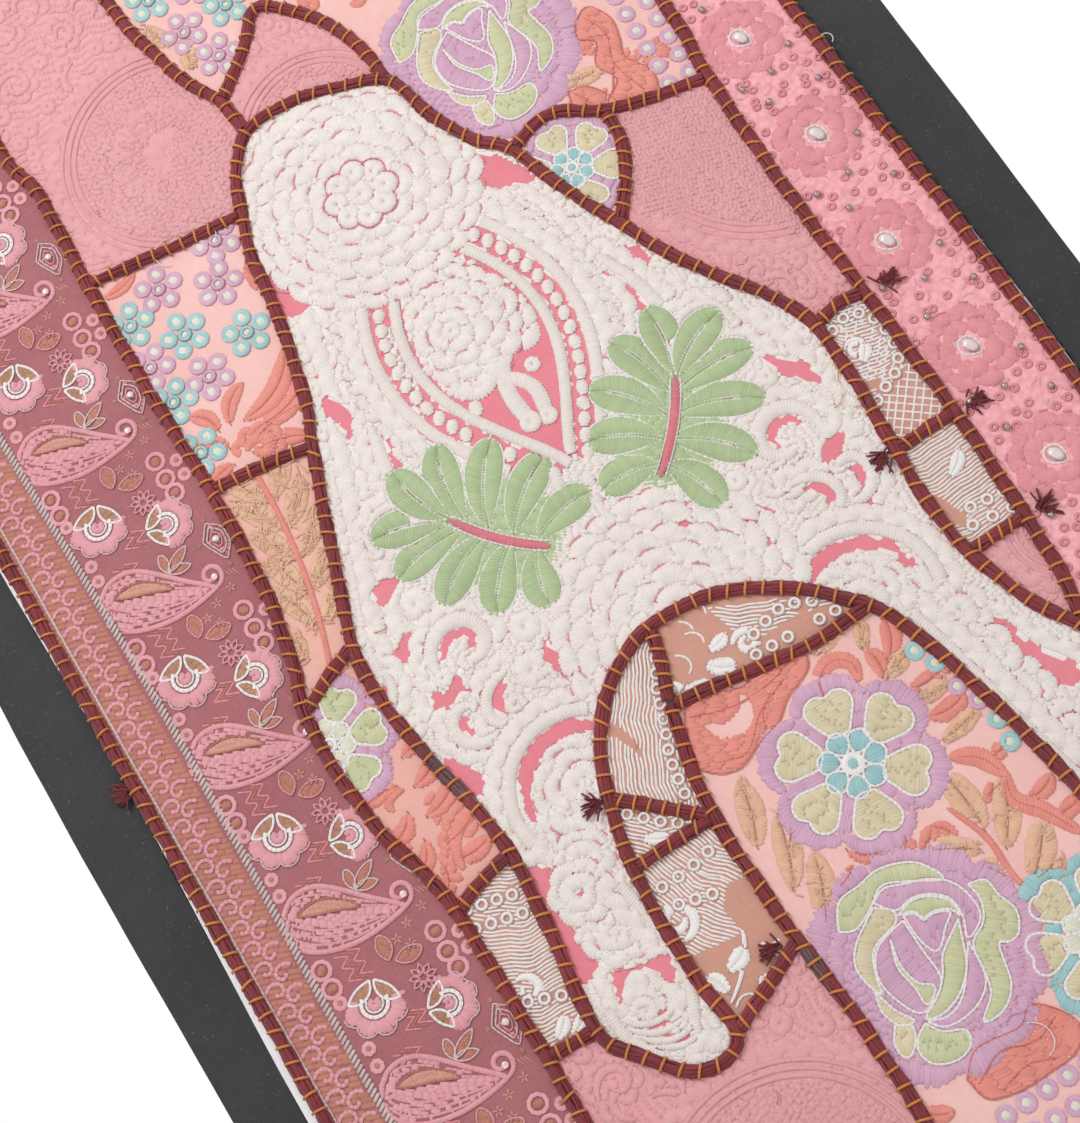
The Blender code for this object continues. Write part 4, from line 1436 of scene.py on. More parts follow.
def figureLimbs():
    claim(freely(limbs["gaps"][1]))
    for start, end in limbs["slits"]:
        path = offsetPath(bowed(start, end, 0.16), 2.4)
        satin("white", path, tapered(2.8, 0.5), high=1.2, gap=0.2)
    for points, side in limbs["bars"]:
        path = smoothPath(points, 1.5)
        satin("white", path, 5.2, high=1.4, gap=0.3)
        if side:
            scallops("white", offsetPath(path, side * 3.0), 10.0, side, spread=80, deep=0.84, high=1.2,
                gap=0.2)
    satin("white", curlPath((-82, 686), -40, 20, 12.0, 1.2), 4.4, high=1.3, over=True, gap=0.2)
    for centre, radii in limbs["flowers"]:
        scallopRows("white", centre, radii, 8.5, slit="slitPink", high=1.3, gap=0.2)


def sewFigure():
    takeUp("figure_white")
    gaps = figureGround()
    figureHead()
    figureAlmond()
    figureFlower()
    figureDome()
    figureScrolls()
    figureLimbs()
    taken[gaps] = True
    for inward in (8.0, 17.0):
        for side in (-1, 1):
            scallops("white", offsetPath(routeOf("figure", 2.0), side * inward), 11.0, side, spread=78,
                deep=0.8, high=1.2, gap=0.2)
    fillCurls("white", 15.0, 5.0, (24, 44), 6.4, rim=8.0, tries=2, margin=0.2, high=1.3)
    fillShells("white", 17.0, 10.0, 4.8, margin=0.2, high=1.2)
    fillShells("white", 11.0, 7.0, 2.8, margin=0.2, high=1.1)
    hatch("white", wholePatch(), 30, 1.5, 3.8, 1.9, 0.85, least=2.0, wobble=0.6, gap=0.1)


# The mauve strip: what repeats down it is drawn once, from the middle of a paisley

mauveStrip = {
    "piece": "strip_mauve_paisley", "across": -168.2, "first": 333.6, "pitch": 84.0,
    "bandEdge": -190.0, "leftEdge": -215.0,
}


def paisley(centre, grow=1.0):
    def local(x, y):
        return centre + np.array([x, y]) * grow

    base, tip = local(-19, -13), local(27, 12)
    heading = headingOf(base, tip)
    spine = smoothPath([base, local(-8, -4), local(8, 5), tip], 1.0)
    share = np.linspace(0, 1, len(spine))
    half = 15.0 * grow * (np.sin(pi * share ** 0.62) ** 0.8) * (1 - 0.25 * share)
    upper, lower = offsetPath(spine, -half), offsetPath(spine, half)
    body = np.vstack([upper, lower[::-1]])
    curl = curlPath(tip, heading - 25, 27 * grow, -9.5 / grow, 1.5)
    satin("pink", curl, tapered(2.1, 0.7), high=1.0)
    for edge in (upper, lower):
        satin("pink", edge, 2.1, high=1.0)
    settle(0.3)
    core = eggPath(local(-14, -9), local(11, 2), 6.0 * grow, 0.42, -0.1, 0.8)
    filled("gold2", core, heading + 62, "copper", 1.7, 4.0, 0.5, 0.7, high=0.5)
    for inset in (-0.74, -0.5, 0.34, 0.56, 0.78):
        stem("pink", offsetPath(spine, half * inset)[4:-6], 1.2, 2.6, gap=0.4)
    hatch("pink", stencilOf(body), heading + 8, 1.6, 3.6, 1.95, 0.65, bow=3.0, gap=0.4)
    return curl[-1]


def podFlower(centre, heading, grow=1.0):
    # a scalloped flower whose two pods open at its back
    def local(out, beside):
        return polar(polar(centre, out * grow, heading), beside * grow, heading + 90)

    fan("pink", local(-1, 0), 7.2 * grow, lobed(14.0 * grow, 0.2, 8), heading - 100, heading + 100,
        high=0.9, gap=0.1)
    for radius, wide in ((5.9, 1.7), (3.9, 0.9)):
        stem("clear", arcPath(local(-1, 0), radius * grow, heading - 118, heading + 118), wide, 2.2, 0.9)
    fan("pink", local(-1, 0), 0.3, 3.0 * grow, heading - 130, heading + 130, high=0.9, gap=0.2)
    outline("shell", ringPath(local(-1, 0), lobed(14.6 * grow, 0.2, 8), heading - 70, heading + 70), 0.6)
    for beside in (-1, 1):
        pod = eggPath(local(-11, beside * 1.0), local(-2, beside * 11.5), 6.0 * grow, 0.5, -0.1 * beside,
            0.8)
        filled("bronze", pod, heading + 60 * beside, "clear", 1.35, 4.0, line=1.1)


def mauveRepeat(across, drop):
    def spot(x, y):
        return np.array([across + x, drop + y])

    eye = paisley(spot(0, 0))
    if isFree(eye[0], eye[1], True):
        sequins.append(eye)
    podFlower(spot(-5, -43), 112)
    podFlower(spot(23, -27), 12, 0.9)
    for base, tip, wide in (((9.5, -56), (10.5, -68), 7), ((12, -54.5), (25, -54), 7)):
        path = eggPath(spot(*base), spot(*tip), wide, 0.5, 0.05, 0.8)
        filled("copper", path, headingOf(base, tip) + 50, "pink", 1.35, 4.0, line=0.75)
    for tip in ((13, -16), (25, -13), (23, -4)):
        path = eggPath(spot(12.2, -6), spot(*tip), 4.6, 0.5, 0.0, 0.8)
        filled("copper", path, headingOf((12.2, -6), tip) + 60, "shell", 1.35, 4.0, line=0.7)
    daisy = spot(18.5, -42)
    for k in range(9):
        outline("pink", eggPath(polar(daisy, 1.4, 40 * k), polar(daisy, 6.2, 40 * k), 2.6), 0.7, 2.8)
    settle(0.3)
    for row, colour in ((0.0, "rose"), (3.0, "copper"), (6.0, "rose")):
        for x, y, count in ((-10, -70, 6), (-9, -21, 5), (1, -33, 4)):
            steps = np.arange(count)
            path = np.stack([across + x + row + (steps % 2) * 6.0, drop + y + steps * 2.9], axis=1)
            stem(colour, smoothPath(path, 5.0), 0.8, 3.0)
    settle(0.5)
    small = [(-16, -29), (-16.5, -21), (-17, 8), (-17, 32)]
    large = [(-17, 16), (-17, 25), (33, -48), (33, -38), (32.5, 28), (32.5, 38)]
    rings("pink", [spot(*p) for p in small], 6.4, 0.9, "bronze", 0.3, shape="smallRing")
    rings("pink", [spot(*p) for p in large], 9.4, 1.0, "copper", 0.36, shape="thinRing")
    rings("pink", [spot(41, -43), spot(41, 33)], 6.6, 0.9, "bronze", 0.3, shape="smallRing", gap=0.5)
    gem = np.array([spot(37.5, -17), spot(43.5, -12), spot(43.5, -3), spot(38, 4), spot(32, -9)])
    heart = spot(38.2, -7.6)
    for grow in (1.0, 0.72, 0.44):
        path = heart + (np.vstack([gem, gem[:1]]) - heart) * grow
        outline("shell" if grow > 0.7 else "pink", path, 0.65, 3.0)
    for corner in gem:
        for turn in (-24, -8, 8, 24):
            start = heart + (corner - heart) * 1.06
            stem("bronze", np.array([start, polar(start, 2.6, headingOf(heart, corner) + turn)]), 0.6, 2.6)
    settle(0.4)
    if isFree(heart[0], heart[1], True):
        gems.append(heart)
    for x, y in ((24, 18.5), (17, 22), (33, 15.7), (21, 27)):
        for k in range(5):
            stem("gold2", np.array([polar(spot(x, y), 0.5, 72 * k), polar(spot(x, y), 2.4, 72 * k)]), 0.8,
                2.4, over=True)
    hatch("rose", stencilOf(gem), 30, 1.9, 3.4, 1.5, 0.4)
    for k in range(6):
        start = spot(29 + 1.7 * k, 6 + 0.5 * k)
        stem("gold2", np.array([start, start + (1.6, 3.6)]), 0.55, 3.6)
    settle(0.3)


def mauveBand():
    # the copper band at the outer edge: pink curls over slanted stitches, and a silver twist beside it
    twist = np.array([(mauveStrip["bandEdge"] + 1.5 * sin(d / 60), d) for d in np.arange(40, 962, 3.0)])
    satin("silver", twist, 3.6, 2.3, 1.5, 1.2, lean=0.6, gap=0.5)
    for drop in np.arange(44, 958, 10.4):
        for across, side in ((-197.5, 1), (-208.0, -1)):
            start = (across + 3.2 * side, drop + (5.2 if side > 0 else 0) + 3.0)
            path = curlPath(start, -90 - 15 * side, 19.0, -10.5 * side, 1.7)
            stem("pink", path, 1.7, 2.2, 0.9)
    settle(0.3)
    edge = np.array([(mauveStrip["leftEdge"] + 3.5, d) for d in np.arange(44, 958, 3.0)])
    stem("silver", edge, 1.1, 2.2, gap=0.3)
    band = stencilOf([(-216, 38), (mauveStrip["bandEdge"] - 2, 38), (mauveStrip["bandEdge"] - 2, 962),
        (-216, 962)])
    hatch("copper", band, 24, 2.4, 6.0, 2.2, 0.4, gap=0.2)


# The rose strip, tone on tone, with beads

roseStrip = {"piece": "strip_rose_beaded", "across": 190.0, "first": 343, "pitch": 61.0}


def roseStripStitches():
    takeUp(roseStrip["piece"])
    across = roseStrip["across"]
    for k in range(-5, 10):
        drop = roseStrip["first"] + roseStrip["pitch"] * k
        centre = (across + 2 * sin(k * 2.1), drop)
        beadPlaces["oval"].append(centre)
        outline("clear", eggPath(polar(centre, 5.6, 60), polar(centre, 5.6, 240), 8.6), 0.9, lift=0.0,
            gap=0.3)
        scallopRows("rose", centre, [6.5, 13.0], 8.6, slit="roseDeep", slits=1.0, high=0.7, pitch=1.6,
            gap=0.3)
        for x, y in ((-16, 20), (3, 25), (17, 13), (-8, 38), (20, 38)):
            beadPlaces["round"].append((across + x * 0.9 + rng.normal(0, 1), drop + y + rng.normal(0, 2)))
    eyelets = list(freePlacesOnce(7.6, 2.0))
    rings("rose", eyelets, 4.2, 0.8, shape="smallRing", gap=0.3)
    for place in freePlaces(6.0, 0.8):
        path = curlPath(place, vary(0, 360), vary(4, 9), rng.choice([-1, 1])
            * vary(8, 14), 0.5)
        stem("rosePale", path, 0.7, 2.2, 0.5, gap=0.4)


# Coloured flowers and scrolls, drawn in a frame of their own that is turned and set on the cloth

motifTurn = 34.0  # degrees that the coloured motifs are turned on the hanging


def frameAt(centre, turn=motifTurn, grow=1.0):
    u, v = grow * cos(radians(turn)), grow * sin(radians(turn))
    return lambda x, y: np.array([centre[0] + x * u - y * v, centre[1] + x * v + y * u])


def openFlower(centre, grow=1.0, petal="sage", fringe="purple", core="cyan", turn=40.0):
    # a ring of ovals round a dot, six petals with a white line round each, and a fringed rim
    rings("clear", centre, 9.8 * grow, 1.6, core, 0.62, gap=0.1)
    for k in range(7):
        angle = turn + 20 + 360 / 7 * k
        path = eggPath(polar(centre, 4.4 * grow, angle), polar(centre, 15.0 * grow, angle), 9.8 * grow,
            0.58)
        filled(core, path, angle, "clear", 1.3, 9.0, 0.1, 1.1, high=1.0)
    for k in range(6):
        angle = turn + 60 * k
        corners = [(13, -3.5), (18, -7), (25, -10.5), (30, -9), (32, -4), (30, 0), (32, 4), (30, 9),
            (25, 10.5), (18, 7), (13, 3.5)]
        local = frameAt(centre, angle, grow)
        filled(petal, freely([local(*p) for p in corners]), angle + 88, "clear", 1.35, 8.0, 0.1, 1.2,
            high=1.0)
    rim = lobed(40 * grow, 0.24, 6, turn)
    fan(fringe, centre, 30 * grow, rim, high=0.9, gap=0.1)
    for inner, outer in ((13, 22), (20, 31)):
        fan(fringe, centre, inner * grow, outer * grow, high=0.8, gap=0.1)
    claim(ringPath(centre, rim))
    settle(0.4)


roseLook = {  # colour, places round a petal, and the turn of its threads
    "petals": [
        ("paleGreen", [(-14, -9), (-10, 1), (-3, 8), (4, 9), (1, 17), (-4, 10), (-11, 2)], -40),
        ("purple", [(-9, -17), (-17, -9), (-20, -2), (-18, 8), (-10, 16), (-1, 20), (5, 12), (6, 5),
            (-1, -5)], -40),
        ("purple", [(-9, -19), (-4, -20), (-1, -17), (3, -20), (10, -21), (8, -15), (5, -5), (-2, -9)], 80),
        ("paleGreen", [(-11, -19), (-6, -25), (2, -27), (10, -25), (14, -19), (10, -22), (3, -21),
            (-1, -18), (-5, -21)], 75),
        ("paleGreen", [(13, -18), (16, -3), (16, 4), (13, 13), (7, 20), (0, 22), (5, 13), (7, 4), (7, -4)],
            10),
        ("sage", [(-21, -22), (-13, -21), (-12, -16), (-19, -8), (-21, -2), (-19, 8), (-17, 13), (-23, 9),
                  (-28, 2), (-28, -6), (-25, -14)], 10),
        ("purple", [(-21, -24), (-17, -30), (-8, -32), (0, -34), (10, -33), (18, -27), (22, -19), (17, -10),
                    (15, -19), (10, -26), (2, -28), (-6, -26), (-12, -21)], 85),
        ("purple", [(17, -9), (21, -2), (24, 6), (22, 14), (16, 21), (8, 25), (1, 23), (9, 21), (15, 12)],
            20),
        ("paleGreen", [(-35, -12), (-35, -24), (-27, -31), (-19, -38), (-6, -41), (3, -38), (7, -34),
                       (-8, -33), (-18, -31), (-22, -22), (-28, -13)], 75),
        ("paleGreen", [(17, -32), (24, -34), (29, -28), (36, -22), (37, -13), (33, -9), (29, -9), (31, -2),
                       (34, 8), (31, 18), (23, 23), (26, 12), (24, 4), (19, -8), (23, -17), (22, -26)], 10),
        ("paleGreen", [(0, 24), (7, 27), (16, 26), (18, 32), (13, 38), (4, 40), (-2, 36), (-3, 30)], 75),
        ("sage", [(-12, 25), (-5, 25), (-4, 33), (-7, 38), (-12, 33)], 60),
        ("sage", [(-20, 12), (-12, 19), (-4, 23), (-10, 25), (-17, 20)], -30),
    ],
    "fringe": 49.0,
}


def openRose(centre, grow=1.0, turn=motifTurn):
    local = frameAt(centre, turn, grow)
    for colour, places, angle in roseLook["petals"]:
        path = freely([local(*p) for p in places])
        hatch(colour, stencilOf(path), angle + turn, 1.35, 8.0, high=0.9, gap=0.1)
        outline("clear", path, 1.0)
        claim(path)
    settle(0.2)
    fan("purple", centre, 39 * grow, lobed(roseLook["fringe"] * grow, 0.09, 13, 10), high=0.9, gap=0.1)
    fan("purple", centre, 33 * grow, 41 * grow, high=0.8, gap=0.1)
    hatch("purple", stencilOf(ringPath(centre, 40 * grow)), turn + 80, 1.4, 4.0, high=0.8, gap=0.2)
    claim(ringPath(centre, lobed(roseLook["fringe"] * grow, 0.09, 13, 10)))


def acanthus(colour, start, heading, length, bend, wide=7.0, lobe=7.0):
    # a scroll with a lobed back
    path = curlPath(start, heading, length, bend, 1.3)
    satin(colour, path, tapered(wide, 0.35), lean=0.2, high=0.9, gap=0.4)
    side = -copysign(1, bend)
    scallops(colour, offsetPath(path[: int(len(path) * 0.7)], side * wide * 0.5), lobe, side, gap=0.5)


def flames(colour, rows):
    # long bent leaves side by side: base, tip, width, bow
    for base, tip, wide, bow in rows:
        leaf(colour, base, tip, wide, bow, slant=0.8, fat=0.42, high=0.9, blunt=0.7)
        outline(colour + "Deep", bowed(base, tip, bow)[2:-1], 0.6, gap=0.35)


def ringRows(colour, rows, size=8.4, core="cream"):
    for start, end, count in rows:
        share = np.linspace(0, 1, count)[:, None]
        places = np.array(start) + (np.array(end) - start) * share
        rings(colour, places, size, 1.2, core, 0.5)
    settle(0.4)


def plume(colour, places, veins, angle):
    # a broad scroll leaf of any outline, with raised veins
    path = freely(places)
    hatch(colour, stencilOf(path), angle, 1.4, 8.0, high=0.9, bow=4.0, wobble=0.5, gap=0.2)
    outline(colour + "Deep", path, 0.6)
    claim(path)
    for vein in veins:
        outline(colour + "Deep", smoothPath(vein, 1.5), 0.7)
    settle(0.3)


def frayedLeaf(base, tip, wide=11.0, frays=16, loose=2.4):
    # a tan leaf whose threads have come loose at the edges
    spine = bowed(base, tip, 0.04)
    places = spine[rng.integers(0, len(spine), frays)] + rng.normal(0, wide * 0.16, (frays, 2))
    turn = radians(headingOf(base, tip)) + rng.normal(0, 1.0, frays)
    reach = waysOf(turn) * vary(1.0, loose, (frays, 1))
    sew("tan", places - reach, places + reach, 0.65, 0.5, lift=0.7)
    leaf("tan", base, tip, wide, 0.04, slant=0.45, fat=0.45, high=0.8, blunt=0.55)
    outline("tanDeep", spine[2:-2], 0.6, gap=0.4)


# The patches of coloured embroidery

archFlowers = {
    "open": (48, 650.5), "rose": (27, 735), "side": (89, 761),
    "hole": [(5, 601), (13, 606), (21, 605), (26, 599), (25, 610), (16, 614), (8, 610)],
    "plumes": [  # outline, veins, turn of the rows
        ([(3, 589), (15, 593), (30, 597), (40, 591), (56, 597), (55, 606), (41, 612), (33, 618),
                (22, 621), (7, 626), (-6, 617), (-4, 604)],
            [[(2, 596), (20, 602), (38, 602), (52, 599)], [(0, 618), (14, 622), (26, 612), (36, 606)],
                [(26, 618), (30, 610), (44, 604)]], 20),
        ([(15, 782), (25, 774), (44, 776), (52, 771), (61, 779), (64, 789), (57, 796), (44, 797),
                (32, 797), (18, 793)],
            [[(18, 786), (32, 780), (46, 784), (58, 780)], [(24, 793), (38, 790), (50, 794)]], 10),
        ([(76, 796), (84, 788), (96, 792), (108, 786), (114, 795), (104, 800), (86, 800)],
            [[(80, 795), (106, 791)]], 0),
        ([(-30, 672), (-22, 664), (-14, 668), (-12, 682), (-18, 694), (-26, 688)],
            [[(-24, 668), (-18, 686)]], 60),
    ],
    "hooks": [  # path, width
        ([(53, 622), (56, 613), (64, 609), (71, 614), (70, 622)], 8),
        ([(83, 671), (92, 677), (97, 688)], 9), ([(97, 688), (94, 699), (101, 709), (108, 724)], 8),
        ([(70, 688), (76, 706), (76, 723), (78, 738)], 2.6),
    ],
    "coral": [  # base, tip, width
        ((84, 622), (93, 606), 9), ((84, 637), (104, 635), 9.5), ((84, 651), (102, 651), 10),
        ((93, 679), (107, 676), 7), ((97, 691), (84, 694), 6), ((98, 702), (112, 699), 8),
        ((103, 713), (118, 712), 8), ((26, 679), (40, 688), 8), ((42, 694), (50, 685), 8),
        ((50, 696), (60, 690), 8), ((12, 690), (24, 686), 7), ((66, 700), (60, 690), 6),
    ],
    "tan": [
        ((-4, 658), (5, 630), 12), ((-1, 681), (10, 651), 12), ((1, 702), (14, 673), 12),
        ((4, 668), (14, 655), 7), ((77, 703), (76, 675), 13), ((80, 714), (96, 688), 12),
        ((81, 731), (99, 712), 13), ((71, 709), (52, 697), 11), ((75, 727), (67, 713), 9),
        ((80, 731), (95, 729), 9), ((80, 628), (94, 622), 8), ((82, 643), (100, 643), 7),
        ((84, 663), (104, 659), 8), ((62, 603), (76, 596), 8), ((78, 612), (84, 600), 7),
    ],
    "rings": [((20, 801.7), (126, 801.7), 12), ((26, 813), (120, 813), 11),
        ((30, 824.4), (116, 824.4), 10), ((0, 836), (110, 836), 12)],
}


def sewArch():
    takeUp("floral_arch")
    openFlower(archFlowers["open"])
    openRose(archFlowers["rose"])
    openFlower(archFlowers["side"], 0.84, "sage", "cyan", "cream", 10)
    ringRows("purple", archFlowers["rings"])
    rings("cyan", [(95.6, 624.7), (99.8, 633.6), (107.6, 667.7), (106.4, 678.5)], 8.4, 1.2, "cream")
    rings("purple", [(101.7, 646.9), (105.4, 656.6)], 8.0, 1.2, "cream", gap=0.4)
    claim(freely(archFlowers["hole"]))
    for places, veins, angle in archFlowers["plumes"]:
        plume("coral", places, veins, angle)
    for points, wide in archFlowers["hooks"]:
        path = smoothPath(points, 1.2)
        satin("coral", path, tapered(wide, 0.35, 0.65), lean=0.3, high=0.9)
        if wide > 4:
            outline("coralDeep", path[2:-2], 0.6)
        settle(0.3)
    for base, tip, wide in archFlowers["tan"]:
        frayedLeaf(base, tip, wide)
    flames("coral", [(base, tip, wide, 0.12) for base, tip, wide in archFlowers["coral"]])
    for place in freePlaces(15.0, 4.0, 1, ~stencilOf([(-10, 640), (0, 640), (0, 720), (-10, 720)])):
        turn = vary(0, 360)
        flames("coral", [(polar(place, 7, turn + 180), polar(place, 8, turn), 8, 0.12)])


topFlowers = {
    "plumes": [
        ([(133, 290), (142, 286), (148, 297), (146, 309), (143, 319), (149, 331), (146, 343), (136, 342),
                (124, 334), (134, 326), (130, 314), (136, 304), (130, 298)],
            [[(138, 290), (142, 304), (137, 318), (141, 338)], [(137, 318), (128, 332)],
                [(142, 304), (134, 300)]], 60),
        ([(112, 318), (122, 322), (128, 336), (118, 338), (110, 330)], [[(114, 320), (121, 335)]], 20),
    ],
    "rose": (88.7, 275),
    "columns": [((158, 258), (151.7, 342), 9), ((169, 268), (162.7, 342.6), 8)],
    "bunches": [("cyan", -26, 152), ("purple", -4, 158), ("cyan", 16, 149), ("purple", -20, 178),
        ("cyan", 4, 178), ("purple", -12, 199), ("cyan", 24, 172), ("purple", 40, 158)],
    "scrolls": [
        (48, 178, 40, 26, 6), (70, 162, 20, 30, -6), (98, 165, -10, 32, 6), (120, 182, 60, 30, -6),
        (146, 176, 80, 26, 6), (136, 212, 30, 26, -7), (146, 240, 110, 24, 7), (34, 196, 60, 24, 7),
        (56, 212, 20, 22, -7), (138, 292, 70, 26, 7), (149, 318, 110, 26, -7), (140, 340, 160, 24, 6),
        (120, 322, 120, 20, -6), (38, 238, 30, 16, 8),
    ],
}


def sewTop():
    takeUp("floral_top")
    openRose(topFlowers["rose"], 1.0, motifTurn - 24)
    ringRows("purple", topFlowers["columns"])
    for k, (colour, x, drop) in enumerate(topFlowers["bunches"]):
        bunch(colour, (x, drop), 8.2, 17 * k)
    for places, veins, angle in topFlowers["plumes"]:
        plume("coral", places, veins, angle)
    for x, drop, heading, length, bend in topFlowers["scrolls"]:
        acanthus("coral", (x, drop), heading, length, bend)
    for place in freePlaces(16.0, 5.0):
        turn = vary(0, 360)
        frayedLeaf(polar(place, 8, turn + 180), polar(place, 9, turn), 9.0)


clusterLeft = {
    "flames": [
        ((-92, 368), (-58, 346), 11, 0.16), ((-92, 374), (-52, 362), 11, 0.12),
        ((-94, 380), (-58, 378), 10, -0.1), ((-96, 384), (-70, 392), 9, -0.1),
        ((-98, 366), (-84, 352), 8, -0.15), ((-104, 366), (-112, 352), 8, 0.15),
        ((-104, 376), (-120, 366), 8, 0.15), ((-106, 384), (-118, 386), 7, 0.1),
        ((-54, 300), (-48, 322), 8, 0.1), ((-54, 330), (-46, 308), 7, 0.1),
        ((-118, 276), (-100, 274), 6, 0.1),
    ],
    "bunches": [
        ("purple", -94, 288), ("purple", -69.5, 302), ("purple", -116, 319.5), ("purple", -95, 340),
        ("cyan", -94.6, 315), ("cyan", -70, 331), ("cyan", -114, 296), ("cyan", -115, 341),
        ("cyan", -116, 370), ("purple", -60, 282),
    ],
}


def sewClusterLeft():
    takeUp("cluster_left")
    for k, (colour, x, drop) in enumerate(clusterLeft["bunches"]):
        bunch(colour, (x, drop), 8.4, 13 * k)
    acanthus("coral", (-98, 382), -70, 26, 9, 7)
    flames("coral", clusterLeft["flames"])


def sewPetalRight():
    takeUp("petal_right")
    openFlower((94, 352), 0.72, "sage", "purple", "cyan", 30)
    bunch("cyan", (84, 338), 6.6, 20)
    fillShells("purple", 8.0, 6.0, 2.4)
    fillShells("sage", 6.0, 4.0, 1.6)


coralFlames = [
    ((-106, 520), (-96, 500), 8, 0.1), ((-108, 530), (-94, 512), 9, 0.14),
    ((-110, 542), (-94, 528), 10, 0.14), ((-112, 556), (-94, 544), 10, 0.14),
    ((-114, 570), (-94, 560), 10, 0.12), ((-116, 584), (-94, 577), 10, 0.12),
    ((-114, 592), (-96, 592), 9, 0.1), ((-118, 552), (-134, 552), 8, 0.1),
    ((-120, 564), (-132, 572), 9, -0.14), ((-120, 578), (-130, 590), 8, -0.14),
    ((-118, 590), (-124, 604), 7, -0.1), ((-110, 510), (-102, 494), 6, 0.1),
]


def sewCoralLeft():
    takeUp("coral_left")
    openFlower((-134, 520), 0.8, "paleGreen", "purple", "cream", 10)
    acanthus("coral", (-112, 598), -100, 60, 3.2, 7.0)
    flames("coral", coralFlames)
    fillCurls("coral", 8.0, 2.4, (10, 16), 5.0)


def sewTanLeft(top=(-100, 392), foot=(-120, 500), full=True):
    # a coral stem with frayed tan leaves on both sides
    spine = bowed(top, foot, -0.05)
    satin("coral", spine, 2.4, high=0.9, gap=0.5)
    places, ways, _ = along(spine, 14.5)
    for k, (place, way) in enumerate(zip(places, ways)):
        if full and k > 5:
            continue
        heading = degrees(atan2(way[1], way[0])) + 180
        for side in (-1, 1):
            base = polar(place, 2.0, heading + 90 * side)
            frayedLeaf(base, polar(base, 24, heading + 34 * side), 10.5, 34 if full else 6, 4.5)
    for place in freePlaces(9.0, 3.0) if full else ():
        turn = vary(0, 360)
        frayedLeaf(polar(place, 6, turn + 180), polar(place, 7, turn), 6.0)


# Rose patches: thread of nearly the colour of the cloth

def roseWork(centre, facing, radius=46.0, sweep=95.0):
    # a half flower inside a double arc, scallops outside it, and curls to the edges
    fan("blush", centre, 2.0, lobed(13, 0.2, 9, facing), facing - sweep, facing + sweep, 1.6, high=0.6,
        gap=0.8)
    for k in np.arange(facing - sweep * 0.8, facing + sweep, 24):
        path = eggPath(polar(centre, 15, k), polar(centre, min(30, radius - 6), k), 8.0, 0.65)
        hatch("blush", stencilOf(path), k, 1.6, 9.0, high=0.8, gap=0.7)
    for step in (0.0, 3.0, 6.4):
        path = arcPath(centre, radius + step, facing - sweep, facing + sweep)
        satin("blush", path, 1.6, 1.3, high=0.8, gap=0.6)
    scallops("blush", arcPath(centre, radius + 8.5, facing - sweep, facing + sweep), 11.0, -1, pitch=1.7,
        high=0.7, gap=0.8)
    disc = stencilOf(ringPath(centre, radius - 1.0))
    for side, first in ((-1, 0), (1, 2.2)):
        hatch("blush", disc, facing + 90 + 32 * side, 4.6, 3.0, 1.9, 0.8, wobble=first)
    settle(0.3)
    hatch("blush", disc, facing + 60, 2.8, 2.8, 2.0, 0.6, gap=0.5)
    fillCurls("blush", 18.0, 5.0, (24, 40), 3.8, rim=7.5, pitch=1.7)
    fillShells("blush", 9.5, 9.0, 3.4, pitch=1.7)
    hatch("blush", wholePatch(), facing - 20, 3.8, 2.2, 1.6, 0.5, wobble=0.8, gap=0.4)


fishScales = [(108, 336), (172, 336), (172, 470), (160, 440), (140, 410), (108, 392)]
roseFans = [  # patch, centre, the way it opens, radius
    ("rose_fan_left", (-56, 228), 215, 46), ("rose_triangle", (10, 262), 285, 34),
    ("rose_fan_low", (-66, 790), 280, 52), ("rose_fan_right", (178, 376), 120, 58),
    ("rose_right", (176, 612), 200, 16), ("rose_foot", (150, 800), 250, 26),
]


def sewRoseFans():
    for patch, centre, facing, radius in roseFans:
        takeUp(patch)
        if patch == "rose_fan_right":
            hatch("blush", stencilOf(fishScales), 20, 2.4, 2.0, 1.9, 0.7, gap=0.4)
        roseWork(centre, facing, radius)


# Net patches: white thread over tan net

